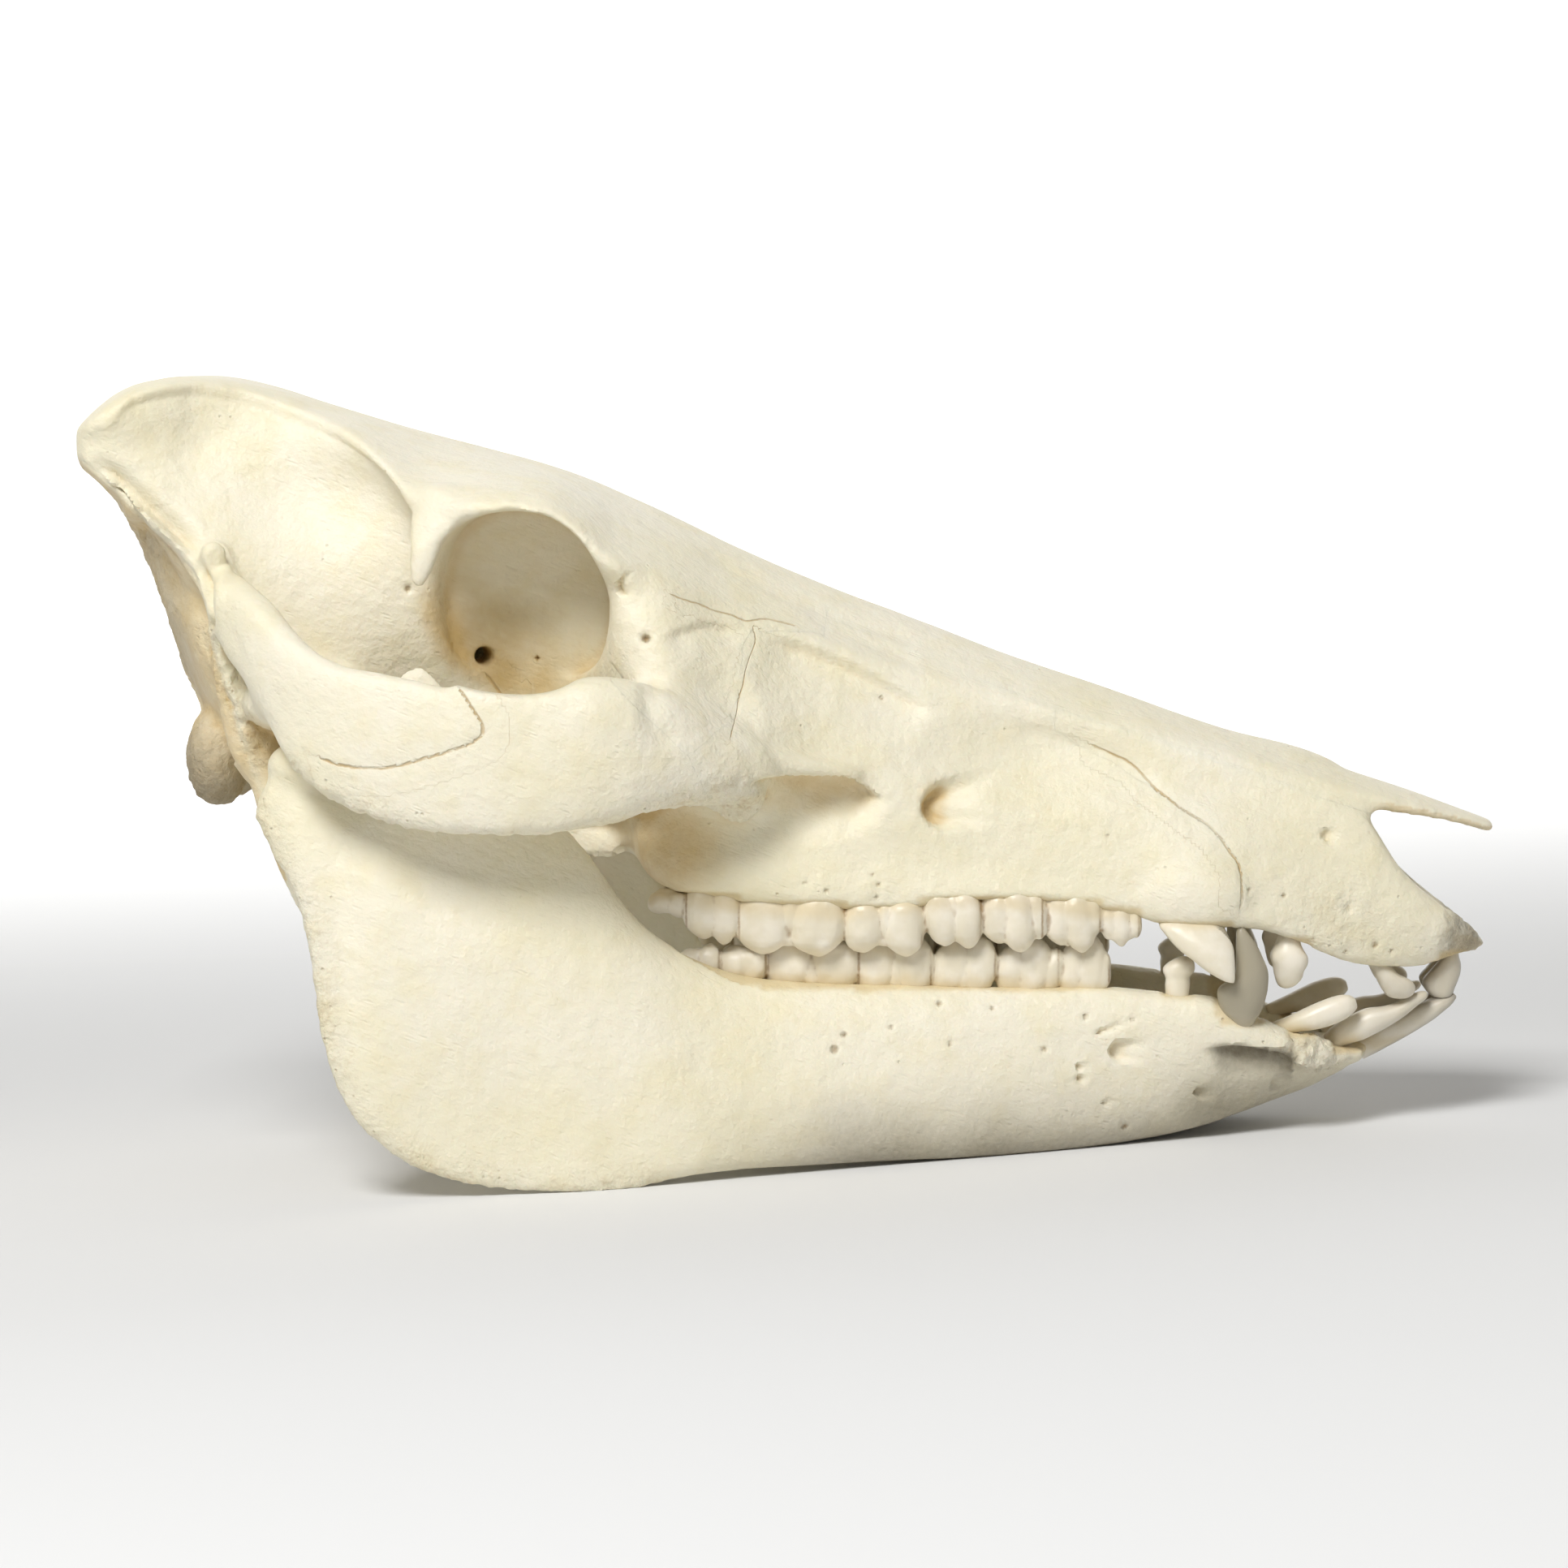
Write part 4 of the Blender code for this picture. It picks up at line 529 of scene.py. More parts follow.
def loft(name, rings):
    """Closed surface bridged over rings that hold the same number of points."""
    work = bmesh.new()
    last = len(rings) - 1
    before = None
    for index, ring in enumerate(rings):
        made = bmesh.ops.create_circle(work, cap_ends=index in (0, last), segments=len(ring),
                                       radius=1.0)["verts"]
        for vert, place in zip(made, ring):
            vert.co = place
        here = list({edge for vert in made for edge in vert.link_edges})
        if before:
            bmesh.ops.bridge_loops(work, edges=before + here)
        before = here
    bmesh.ops.recalc_face_normals(work, faces=work.faces)
    return new_object(name, work)


def oval(half_width, half_height, count, power=2.0):
    """Points of a rounded section, full like a box where power is above 2."""
    angles = np.arange(count) / count * 2 * math.pi
    across = np.sign(np.cos(angles)) * np.abs(np.cos(angles)) ** (2 / power) * half_width
    upward = np.sign(np.sin(angles)) * np.abs(np.sin(angles)) ** (2 / power) * half_height
    return across, upward


def bar(name, path, side, power=2.0):
    """Bar along a path of (x, y, z, half thickness, half height), its ends rounded off."""
    line = curve_points(path, BAR_SPAN, closed=False)
    centres = line[:, :3] * (1, side, 1)
    headings = np.gradient(centres, axis=0)
    rings = []
    for centre, heading, (thick, tall) in zip(centres, headings, line[:, 3:]):
        forward = Vector(heading).normalized()
        upright = Vector((0, 0, 1)) if abs(forward.z) < 0.75 else Vector((1, 0, 0))
        sideways = upright.cross(forward).normalized()
        upright = forward.cross(sideways)
        across, upward = oval(thick, tall, BAR_POINTS, power)
        rings.append([centre + a * np.array(sideways) + u * np.array(upright)
                      for a, u in zip(across, upward)])
    for end, step in ((0, -1), (-1, 1)):
        forward = np.array(Vector(headings[end]).normalized()) * step
        reach = min(line[end, 3], line[end, 4])
        tip = [centres[end] + (point - centres[end]) * BAR_END_TAPER
               + forward * reach * BAR_END_REACH for point in rings[end]]
        rings = [tip] + rings if end == 0 else rings + [tip]
    return loft(name, rings)


def ball(name, mass, side=1):
    """Ellipsoid from a centre and three radii."""
    centre, radii = mass
    work = bmesh.new()
    bmesh.ops.create_icosphere(work, subdivisions=4, radius=1.0)
    place = Matrix.Translation(Vector((centre[0], centre[1] * side, centre[2])))
    bmesh.ops.transform(work, matrix=place @ Matrix.Diagonal(Vector(radii)).to_4x4(),
                        verts=work.verts)
    return new_object(name, work)


def prism(name, outline, low, high):
    """Outline seen from the side, (x, z), extruded from one y to another."""
    work = bmesh.new()
    made = bmesh.ops.create_circle(work, cap_ends=True, segments=len(outline), radius=1.0)
    for vert, (x, z) in zip(made["verts"], outline):
        vert.co = (x, low, z)
    grown_faces = bmesh.ops.extrude_face_region(work, geom=list(work.faces))
    moved = [item for item in grown_faces["geom"] if isinstance(item, bmesh.types.BMVert)]
    bmesh.ops.translate(work, verts=moved, vec=(0, high - low, 0))
    bmesh.ops.recalc_face_normals(work, faces=work.faces)
    return new_object(name, work)


def settle(item):
    """Replace the mesh by what its modifiers make of it."""
    evaluated = item.evaluated_get(bpy.context.evaluated_depsgraph_get())
    mesh = bpy.data.meshes.new_from_object(evaluated)
    item.modifiers.clear()
    old = item.data
    item.data = mesh
    bpy.data.meshes.remove(old)


def gather(name, pieces):
    """One object that holds the surfaces of all the pieces."""
    work = bmesh.new()
    for piece in pieces:
        work.from_mesh(piece.data)
        drop_object(piece)
    return new_object(name, work)


def combine(item, operation, other):
    """Cut the item with another object, keep the result and drop the other."""
    modifier = item.modifiers.new("Boolean", "BOOLEAN")
    modifier.operation = operation
    modifier.solver = "MANIFOLD"
    modifier.object = other
    settle(item)
    drop_object(other)


def remesh(item, voxel):
    modifier = item.modifiers.new("Remesh", "REMESH")
    modifier.mode = "VOXEL"
    modifier.voxel_size = voxel
    settle(item)


def relax(item, rounds):
    modifier = item.modifiers.new("Smooth", "SMOOTH")
    modifier.factor = 0.5
    modifier.iterations = rounds
    settle(item)


def thin_out(item, triangles):
    """Bring a heavy surface down to the number of triangles."""
    item.data.calc_loop_triangles()
    count = len(item.data.loop_triangles)
    if count > triangles:
        modifier = item.modifiers.new("Decimate", "DECIMATE")
        modifier.ratio = triangles / count
        modifier.use_collapse_triangulate = True
        settle(item)


def vertex_places(mesh):
    places = np.empty(len(mesh.vertices) * 3)
    mesh.vertices.foreach_get("co", places)
    return places.reshape(-1, 3)


def vertex_normals(mesh):
    normals = np.empty(len(mesh.vertices) * 3)
    mesh.vertex_normals.foreach_get("vector", normals)
    return normals.reshape(-1, 3)


def set_places(mesh, places):
    mesh.vertices.foreach_set("co", places.ravel())
    mesh.update()


def edge_ends(mesh):
    ends = np.empty(len(mesh.edges) * 2, dtype=np.int64)
    mesh.edges.foreach_get("vertices", ends)
    return ends.reshape(-1, 2)


def keep_largest(item):
    """Drop every closed surface but the one with the most points."""
    mesh = item.data
    ends = edge_ends(mesh)
    shell = np.arange(len(mesh.vertices))
    while True:
        low = np.minimum(shell[ends[:, 0]], shell[ends[:, 1]])
        before = shell.copy()
        np.minimum.at(shell, ends[:, 0], low)
        np.minimum.at(shell, ends[:, 1], low)
        shell = shell[shell]
        if (shell == before).all():
            break
    names, counts = np.unique(shell, return_counts=True)
    if len(names) == 1:
        return
    keep = shell == names[counts.argmax()]
    work = bmesh.new()
    work.from_mesh(mesh)
    work.verts.ensure_lookup_table()
    loose = [work.verts[index] for index in np.flatnonzero(~keep)]
    bmesh.ops.delete(work, geom=loose, context="VERTS")
    work.to_mesh(mesh)
    work.free()


def lattice_value(ix, iy, iz, seed):
    """Fixed random value from -1 to 1 at each whole-numbered point."""
    mix = (ix * 374761393 + iy * 668265263 + iz * 2246822519 + seed * 3266489917) & 0xFFFFFFFF
    mix = ((mix ^ (mix >> 13)) * 1274126177) & 0xFFFFFFFF
    return ((mix ^ (mix >> 16)) & 0xFFFF) / 32767.5 - 1.0


def noise(points, size, seed=0):
    """Smooth random field from -1 to 1 with features of about the size."""
    scaled = points / size + 512.0
    whole = np.floor(scaled).astype(np.int64)
    blend = ease(scaled - whole)
    total = np.zeros(len(points))
    for dx in (0, 1):
        for dy in (0, 1):
            for dz in (0, 1):
                weight = (np.abs(1 - dx - blend[:, 0]) * np.abs(1 - dy - blend[:, 1])
                          * np.abs(1 - dz - blend[:, 2]))
                total += weight * lattice_value(whole[:, 0] + dx, whole[:, 1] + dy,
                                                whole[:, 2] + dz, seed)
    return total


def path_distance(x, z, path):
    """Distance from a line of (x, z) points, the side of it, and a fade toward its ends."""
    line = curve_points(path, 4, closed=False)
    best = np.full(len(x), np.inf)
    side = np.ones(len(x))
    along = np.zeros(len(x))
    for index, ((ax, az), (bx, bz)) in enumerate(zip(line, line[1:])):
        dx, dz = bx - ax, bz - az
        t = np.clip(((x - ax) * dx + (z - az) * dz) / (dx * dx + dz * dz), 0, 1)
        away = np.hypot(x - ax - t * dx, z - az - t * dz)
        closer = away < best
        best[closer] = away[closer]
        side[closer] = np.sign(dx * (z - az) - dz * (x - ax))[closer]
        along[closer] = (index + t[closer]) / (len(line) - 1)
    fade = ease(along / PATH_FADE) * ease((1 - along) / PATH_FADE)
    return best, side, fade


def ease(value):
    """Smooth step of a value clipped to the range from 0 to 1."""
    value = np.clip(value, 0, 1)
    return value * value * (3 - 2 * value)


class Carving:
    """Moves the points of a fine mesh along their normals, alike on both sides of the skull."""

    def __init__(self, item):
        self.mesh = item.data
        self.places = vertex_places(self.mesh)
        self.edges = edge_ends(self.mesh)
        self.degree = np.bincount(self.edges.ravel(), minlength=len(self.places)).clip(1)
        self.refresh()

    def refresh(self):
        self.normals = vertex_normals(self.mesh)
        self.side = np.sign(self.places[:, 1])
        self.x, self.z = self.places[:, 0], self.places[:, 2]
        self.out = np.abs(self.places[:, 1])
        behind = ease(-self.normals[:, 0] / 0.3) * (self.x < -115) * ease((self.out - 18) / 8)
        self.facing = np.maximum(ease((self.normals[:, 1] * self.side + 0.05) / 0.3), behind)

    def apply(self, amount):
        self.places += self.normals * amount[:, None]
        self.store()

    def store(self):
        """Write the places back to the mesh."""
        set_places(self.mesh, self.places)
        self.refresh()

    def spread(self, values):
        """Mean of each point's neighbours."""
        total = np.zeros_like(values)
        for column in range(values.shape[1]):
            total[:, column] = (
                np.bincount(self.edges[:, 0], values[self.edges[:, 1], column], len(values))
                + np.bincount(self.edges[:, 1], values[self.edges[:, 0], column], len(values)))
        return total / self.degree[:, None]

    def soften(self, weight, rounds):
        """Smooth the surface where the weight is high."""
        for _ in range(rounds):
            self.places += (self.spread(self.places) - self.places) * weight[:, None] * 0.6
        self.store()

    def hollowness(self, rounds):
        """How far each point lies below its surroundings, in millimetres."""
        smooth = self.places.copy()
        for _ in range(rounds):
            smooth += (self.spread(smooth) - smooth) * 0.8
        return ((smooth - self.places) * self.normals).sum(axis=1)

    def beside(self, path):
        """Distance from a path, what lies below it, and how far the path shows there."""
        away, side, fade = path_distance(self.x, self.z, path)
        return away, side < 0, self.facing * fade

    def near(self, centre, radii):
        """Soft weight inside an ellipsoid that is mirrored to both sides."""
        gap = ((self.x - centre[0]) / radii[0]) ** 2 + ((self.out - centre[1]) / radii[1]) ** 2
        gap += ((self.z - centre[2]) / radii[2]) ** 2
        return ease(1 - gap)

    def strongest(self, values, patches):
        """The values, raised to the strength of the soft patches where that is higher."""
        for centre, radii, strength in patches:
            values = np.maximum(values, self.near(centre, radii) * strength)
        return values


def weather(carving, sink, rough, tooth_gap, wear):
    """Sink the holes and the rims of the sockets, roughen, and let the surface rise and dip."""
    roughness, size, height, seed = wear
    grain = noise(carving.places, 1.7, 3) + 0.6 * noise(carving.places, 0.9, 4)
    broad = noise(carving.places, size, seed) * height
    broad += noise(carving.places, 8.0, seed + 1) * 0.07
    rim = SOCKET_RIM_DEPTH * ease(1 - tooth_gap / SOCKET_RIM_WIDTH)
    carving.apply(sink + rough * grain * roughness + broad - rim)


def press(carving, presses):
    """Push the surface toward the middle plane inside soft ellipsoids, on both sides."""
    for centre, radii, depth in presses:
        gap = (((np.stack((carving.x, carving.out, carving.z), axis=1) - centre) / radii) ** 2)
        weight = np.clip(1 - gap.sum(axis=1), 0, 1) ** 2
        carving.places[:, 1] -= carving.side * depth * weight
    carving.store()


def skull_shell():
    """The main body of the skull, lofted over the guide lines."""
    places = np.arange(SKULL_ENDS[0], SKULL_ENDS[1] + 0.1, STATION_STEP)
    lines = [smooth_line(line, places) for line in SKULL_LINES]
    rings = []
    for station in zip(*lines):
        left = [np.array(point) for point in station]
        right = [point * (1, -1, 1) for point in reversed(left[1:-1])]
        rings.append(curve_points(left + right, RING_SPAN, closed=True))
    return loft("skull_shell", rings)


def nasal_plate():
    """The paired nasal bones as one arched plate that ends in a point over the nose."""
    rings = []
    for x, half, top, thick in curve_points(NASAL_PLATE, 4, closed=False):
        across = np.linspace(-half, half, 13)
        height = top - NASAL_DROP * (across / NASAL_PLATE[0][1]) ** 2
        upper = [(x, y, z) for y, z in zip(across, height)]
        lower = [(x, y * NASAL_UNDERCUT, z - thick) for y, z in zip(across, height)]
        rings.append(upper + lower[::-1])
    return loft("nasal_plate", rings)


def box_loft(name, stations, power=3.0):
    """Loft over upright sections, (x, half width, bottom, top)."""
    rings = []
    for x, half, bottom, top in curve_points(stations, 4, closed=False):
        across, upward = oval(half, (top - bottom) / 2, SECTION_POINTS, power)
        rings.append([(x, a, (top + bottom) / 2 + u) for a, u in zip(across, upward)])
    return loft(name, rings)


def skull_form(voxel):
    """The upper skull as one closed surface, before its details."""
    pieces = [skull_shell(), nasal_plate()]
    for side in (1, -1):
        for path in SKULL_BARS:
            pieces.append(bar("bar", path, side, power=ARCH_SQUARENESS if path is ARCH else 2.0))
        for mass in (NECK_KNUCKLE, JOINT_SHELF, EAR_BULB, CANINE_SWELL):
            pieces.append(ball("mass", mass, side))
    skull = gather("skull", pieces)
    remesh(skull, voxel * FORM_GRAIN)
    cutters = [ball("neck_hollow", NECK_HOLLOW), ball("spine_hole", SPINE_HOLE),
               ball("throat_hole", THROAT_HOLE), box_loft("nose_passage", NOSE_PASSAGE)]
    outline = [(x, z) for x, z in curve_points(ORBIT_OUTLINE, 5, closed=True)]
    for side in (1, -1):
        low, high = sorted(side * y for y in ORBIT_DEPTH)
        cutters.append(prism("orbit", outline, low, high))
        cutters.append(ball("joint_socket", JOINT_SOCKET, side))
        cutters.append(bar("nerve_hole", NERVE_HOLE, side))
        cutters.append(bar("sight_hole", SIGHT_HOLE, side))
    for cutter in cutters:
        combine(skull, "DIFFERENCE", cutter)
    keep_largest(skull)
    remesh(skull, voxel)
    return skull


def scoop(carving, scoops):
    """Hollows with a steep rim behind that run out flat toward the snout."""
    sink = np.zeros(len(carving.places))
    for x, z, length, height, depth, rise in scoops:
        across = (carving.z - z - (carving.x - x) * rise) / (height / 2)
        along = (carving.x - x) / length - across**2 * 0.45 * height / length
        inside = ease(along / 0.12) * ease(1 - along) * ease((1 - across**2) / 0.9)
        sink = np.minimum(sink, -depth * inside * carving.facing)
    return sink


def mark_holes(carving, holes):
    """Sink the holes and give the distance of each place from the nearest hole's edge."""
    sink = np.zeros(len(carving.places))
    gap = np.full(len(carving.places), FAR)
    for x, z, radius, depth in holes:
        away = np.hypot(carving.x - x, carving.z - z)
        sink -= depth * np.clip(1 - (away / (radius * 1.7)) ** 2, 0, 1) ** 1.5 * carving.facing
        near = np.where(carving.facing > 0.3, away - radius, FAR)
        gap = np.minimum(gap, near)
    return sink, gap


def tooth_distance(carving, teeth, front_teeth):
    """Distance of each place from the nearest tooth, seen from the side."""
    gap = np.full(len(carving.places), FAR)
    boxes = [(start, end, *sorted((gum, tip))) for _, start, end, _, _, gum, tip in teeth]
    for rows in front_teeth:
        for before, after in zip(rows[1:], rows[2:]):
            corners = np.array((before[:2], before[2:4], after[:2], after[2:4]))
            low, high = corners.min(axis=0), corners.max(axis=0)
            boxes.append((low[0], high[0], low[1], high[1]))
    for x_low, x_high, z_low, z_high in boxes:
        beside = np.maximum(np.maximum(x_low - carving.x, carving.x - x_high), 0)
        above = np.maximum(np.maximum(z_low - carving.z, carving.z - z_high), 0)
        gap = np.minimum(gap, np.hypot(beside, above))
    return gap


def carve_skull(skull):
    """Cut the lines, steps, pits and rough places of the upper skull."""
    carving = Carving(skull)
    carving.soften(np.ones(len(carving.places)), FIRST_SMOOTHING)
    press(carving, SKULL_PRESSES)
    for patches, rounds in ((FOSSA_PATCHES, 40), (ARCH_PATCHES, 60)):
        weight = sum(carving.near(*patch) for patch in patches)
        carving.soften(np.clip(weight, 0, 1), rounds)
    away, below, shown = carving.beside(TEMPORAL_LINE)
    amount = (0.6 * np.exp(-(away / 1.2) ** 2)
              - 1.5 * ease(away / 1.8) * np.exp(-away / 8.0) * below) * shown
    for path, depth, edge, reach in SIDE_STEPS:
        away, below, shown = carving.beside(path)
        amount -= depth * ease(away / edge) * np.exp(-(away / reach) ** 2) * below * shown
    for path, width, height in SIDE_BANDS:
        away, _, shown = carving.beside(path)
        amount += height * np.exp(-(away / width) ** 2) * shown
    carving.apply(amount)
    sink, hole_gap = mark_holes(carving, SKULL_HOLES)
    sink += scoop(carving, SKULL_SCOOPS)
    rough = skull_roughness(carving)
    tooth_gap = tooth_distance(carving, UPPER_CHEEK_TEETH, UPPER_FRONT_TEETH)
    tooth_gap[(carving.z > UPPER_GUM_TOP) | (carving.out > TOOTH_ROW_OUT)] = FAR
    weather(carving, sink, rough, tooth_gap, SKULL_WEAR)
    suture_gap = np.full(len(carving.places), FAR)
    for strength, path in FACE_SUTURES:
        away, side, fade = path_distance(carving.x, carving.z, path)
        away = np.where(carving.facing > 0.2, away / strength + FAR * (1 - ease(fade * 4)), FAR)
        suture_gap = np.where(away < np.abs(suture_gap), away * side, suture_gap)
    carving.apply(-SUTURE_DEPTH * ease(1 - np.abs(suture_gap) / SUTURE_WIDTH))
    # Fields for the colour: tan colour with painted shade in hollows, and painted shade at the
    # back with a darker snout tip.
    return carving, {"hole_gap": hole_gap, "suture_gap": suture_gap, "rough": rough,
                     "warm": skull_tan_and_shade(carving), "grime": skull_shade_and_grime(carving),
                     "tooth_gap": tooth_gap, "cavity": carving.hollowness(BONE_HOLLOW_ROUNDS)}


def skull_roughness(carving):
    """Where muscles and gristle have left the bone rough."""
    low_edge = path_distance(carving.x, carving.z, ARCH_LOW_EDGE)[0]
    rough = ease(1 - low_edge / 7) * (carving.out > 34)
    strip = path_distance(carving.x, carving.z, EAR_STRIP)[0]
    rough = np.maximum(rough, ease(1 - strip / 5) * (carving.out > 26) * 1.3)
    rough = np.maximum(rough, ease((-124 - carving.x) / 10) * ease((150 - carving.z) / 20) * 0.7)
    return carving.strongest(rough, ROUGH_PATCHES)


def skull_tan_and_shade(carving):
    """Where the bone is painted tan: partly its own tan colour, mostly painted shade in the orbit,
    inside the nose, in the band behind the rear edge, and in the hollows and under the ledges of
    the patches.
    """
    orbit = ((carving.x + 54) / 24) ** 2 + ((carving.z - 119) / 23) ** 2
    warm = ease((1.15 - orbit) * 2) * ease((45 - carving.out) / 12) * ease((carving.out - 8) / 4)
    warm *= 0.25 + 0.75 * ease((120 - carving.z + (-52 - carving.x) * 0.6) / 26)
    warm = np.maximum(warm, ease((carving.x - 70) / 30) * ease((13 - carving.out) / 3)
                      * (carving.normals[:, 2] < 0.2) * 0.6)
    away, below, _ = carving.beside(REAR_EDGE)
    warm = np.maximum(warm, below * ease(away / 2.5) * (carving.x < -104) * 0.7)
    return carving.strongest(warm, TAN_AND_SHADE_PATCHES)


def skull_shade_and_grime(carving):
    """Bluish painted shade at the back of the skull and on the occipital condyle, and a darker
    patch at the tip of the snout.
    """
    grime = ease((-119 - carving.x) / 12) * ease((150 - carving.z) / 50) * 0.4
    return carving.strongest(grime, SHADE_AND_GRIME_PATCHES)


def grown(outline, distance):
    """Closed outline with each edge moved outward by the distance."""
    points = [Vector(point) for point in outline]
    area = sum(a.x * b.y - b.x * a.y for a, b in zip(points, points[1:] + points[:1]))
    turn = 1 if area > 0 else -1
    result = []
    for before, here, after in zip(points[-1:] + points, points, points[1:] + points[:1]):
        first = (here - before).normalized()
        second = (after - here).normalized()
        normal_one = Vector((first.y, -first.x)) * turn
        normal_two = Vector((second.y, -second.x)) * turn
        miter = (normal_one + normal_two).normalized()
        result.append(tuple(here + miter * distance / max(miter.dot(normal_one), 0.4)))
    return result


def suture_outline(outline, wiggle, seed):
    """The outline with short random steps from side to side, as a suture has."""
    line = []
    for (ax, az), (bx, bz) in zip(outline, outline[1:] + outline[:1]):
        length = math.hypot(bx - ax, bz - az)
        count = max(1, int(length / 1.3)) if length < 40 else 1
        for step in range(count):
            line.append((ax + (bx - ax) * step / count, az + (bz - az) * step / count))
    places = np.array([(x, 0.0, z) for x, z in line])
    across = noise(places, 2.6, seed) * wiggle
    upward = noise(places, 2.6, seed + 1) * wiggle
    return [(x + a, z + u) for (x, z), a, u in zip(line, across, upward)]


def part_off(rest, name, region, wider_region):
    """Take the region out of the rest as a piece of its own."""
    piece = add_object(name, rest.data.copy())
    combine(piece, "INTERSECT", region)
    combine(rest, "DIFFERENCE", wider_region)
    keep_largest(piece)
    keep_largest(rest)
    return piece


def side_regions(outline, span, wiggle, seed):
    """The outline as a cutter over a span of y, and the same a suture wider."""
    line = suture_outline(outline, wiggle, seed)
    low, high = span
    return (prism("region", line, low, high),
            prism("wide", grown(line, SUTURE_GAP), low - SUTURE_GAP, high + SUTURE_GAP))


def nasal_region(growth):
    """Space of the nasal bones, from their suture up."""
    places = np.linspace(NASAL_REGION[0][0] - growth, NASAL_REGION[-1][0], 60)
    rings = []
    for x, half, floor in smooth_line(NASAL_REGION, places) + (0, growth, -growth):
        rings.append([(x, -half, floor), (x, half, floor), (x, half, CUTTER_REACH),
                      (x, -half, CUTTER_REACH)])
    return loft("nasal_region", rings)


def halves(item, bone):
    """Part a bone pair at the middle plane, and name each half for its node."""
    pair = {}
    square = [(-CUTTER_REACH, -CUTTER_REACH), (CUTTER_REACH, -CUTTER_REACH),
              (CUTTER_REACH, CUTTER_REACH), (-CUTTER_REACH, CUTTER_REACH)]
    for side, word in SIDES:
        half = add_object("half", item.data.copy())
        low, high = sorted((side * MIDLINE_GAP / 2, side * CUTTER_REACH))
        combine(half, "INTERSECT", prism("half_space", square, low, high))
        keep_largest(half)
        pair[f"{bone}_{word}"] = half
    drop_object(item)
    return pair


def part_skull(skull):
    """Divide the skull along its sutures, and name each bone for the node it stands for."""
    both_sides = (-CUTTER_REACH, CUTTER_REACH)
    bones = halves(part_off(skull, "nasals", nasal_region(0), nasal_region(SUTURE_GAP)), "nasal")
    front = part_off(skull, "front", *side_regions(PREMAXILLA_OUTLINE, both_sides, 0.5, 11))
    bones.update(halves(front, "premaxilla"))
    for side, word in SIDES:
        span = sorted((side * CHEEK_BONE_INNER, side * CUTTER_REACH))
        regions = side_regions(CHEEK_BONE_OUTLINE, span, 0, 21)
        bones["zygomatic_" + word] = part_off(skull, "cheek_bone", *regions)
    middle = part_off(skull, "middle", *side_regions(MAXILLA_OUTLINE, both_sides, 0.8, 31))
    bones.update(halves(middle, "maxilla"))
    bones["braincase"] = skull
    return bones


def jaw_form(voxel):
    """The lower jaw as one closed surface, before its details."""
    pieces = [box_loft("chin", CHIN, CHIN_SQUARENESS)]
    upper = curve_points(JAW_UPPER, 5, closed=False)
    lower = curve_points(JAW_LOWER, 5, closed=False)
    across, upward = oval(1, 1, SECTION_POINTS, JAW_SQUARENESS)
    for side in (1, -1):
        rings = []
        for top, bottom in zip(upper, lower):
            middle = (top[:3] + bottom[:3]) / 2
            reach = (top[:3] - bottom[:3]) / 2
            ring = []
            for a, u in zip(across, upward):
                half = (top[3] + bottom[3]) / 4 + u * (top[3] - bottom[3]) / 4
                ring.append((middle + u * reach + (0, a * half, 0)) * (1, side, 1))
            rings.append(ring)
        pieces.append(loft("jaw_half", rings))
        pieces.append(ball("jaw_knuckle", JAW_KNUCKLE, side))
    jaw = gather("jaw", pieces)
    remesh(jaw, voxel * FORM_GRAIN)
    combine(jaw, "DIFFERENCE", ball("chin_notch", CHIN_NOTCH))
    keep_largest(jaw)
    remesh(jaw, voxel)
    return jaw


def carve_jaw(jaw):
    """Cut the holes, the ragged front rim and the rough rear edge of the jaw."""
    carving = Carving(jaw)
    carving.soften(np.ones(len(carving.places)), FIRST_SMOOTHING)
    press(carving, JAW_PRESSES)
    away, below, shown = carving.beside(CHIN_RIM)
    under = 3.6 * ease(away / 1.2) * np.exp(-(away / 4.6) ** 2)
    lower = 1.2 * np.exp(-((away - 9) / 7) ** 2)
    carving.apply(-(under + lower) * below * shown)
    away, _, fade = path_distance(carving.x, carving.z, CHIN_RIM)
    crumble = np.maximum(noise(carving.places, 2.2, 5), 0) + 0.7 * noise(carving.places, 1.2, 6)
    ragged = np.exp(-((away - 0.5) / 2.2) ** 2) * carving.facing * fade
    ragged = np.maximum(ragged * ease((carving.x - 96) / 8), carving.near(*CHIN_HEAP) * 1.28)
    carving.apply(ragged * (0.7 + 1.1 * crumble) + 0.3 * np.exp(-(away / 1.2) ** 2) * fade)
    sink, hole_gap = mark_holes(carving, JAW_HOLES)
    sink += scoop(carving, JAW_SCOOPS)
    edge = path_distance(carving.x, carving.z, JAW_REAR_EDGE)[0]
    rough = np.maximum(ease(1 - edge / 8) * 0.8, np.clip(ragged, 0, 1))
    tooth_gap = tooth_distance(carving, LOWER_CHEEK_TEETH, LOWER_FRONT_TEETH)
    tooth_gap[(carving.z < LOWER_GUM_BOTTOM) | (carving.out > TOOTH_ROW_OUT)] = FAR
    weather(carving, sink, rough, tooth_gap, JAW_WEAR)
    carving.places[:, 2] = np.maximum(carving.places[:, 2], floor_height(carving.x))
    carving.store()
    # Fields for the colour: the painted shadow of the arch on the ramus, and painted shade on the
    # chin and the low jaw.
    return carving, {"hole_gap": hole_gap, "suture_gap": np.full(len(rough), FAR), "rough": rough,
                     "warm": carving.near(*JAW_ARCH_SHADOW_PATCH) * 0.4, "grime": jaw_painted_shade(carving),
                     "tooth_gap": tooth_gap, "cavity": carving.hollowness(BONE_HOLLOW_ROUNDS)}


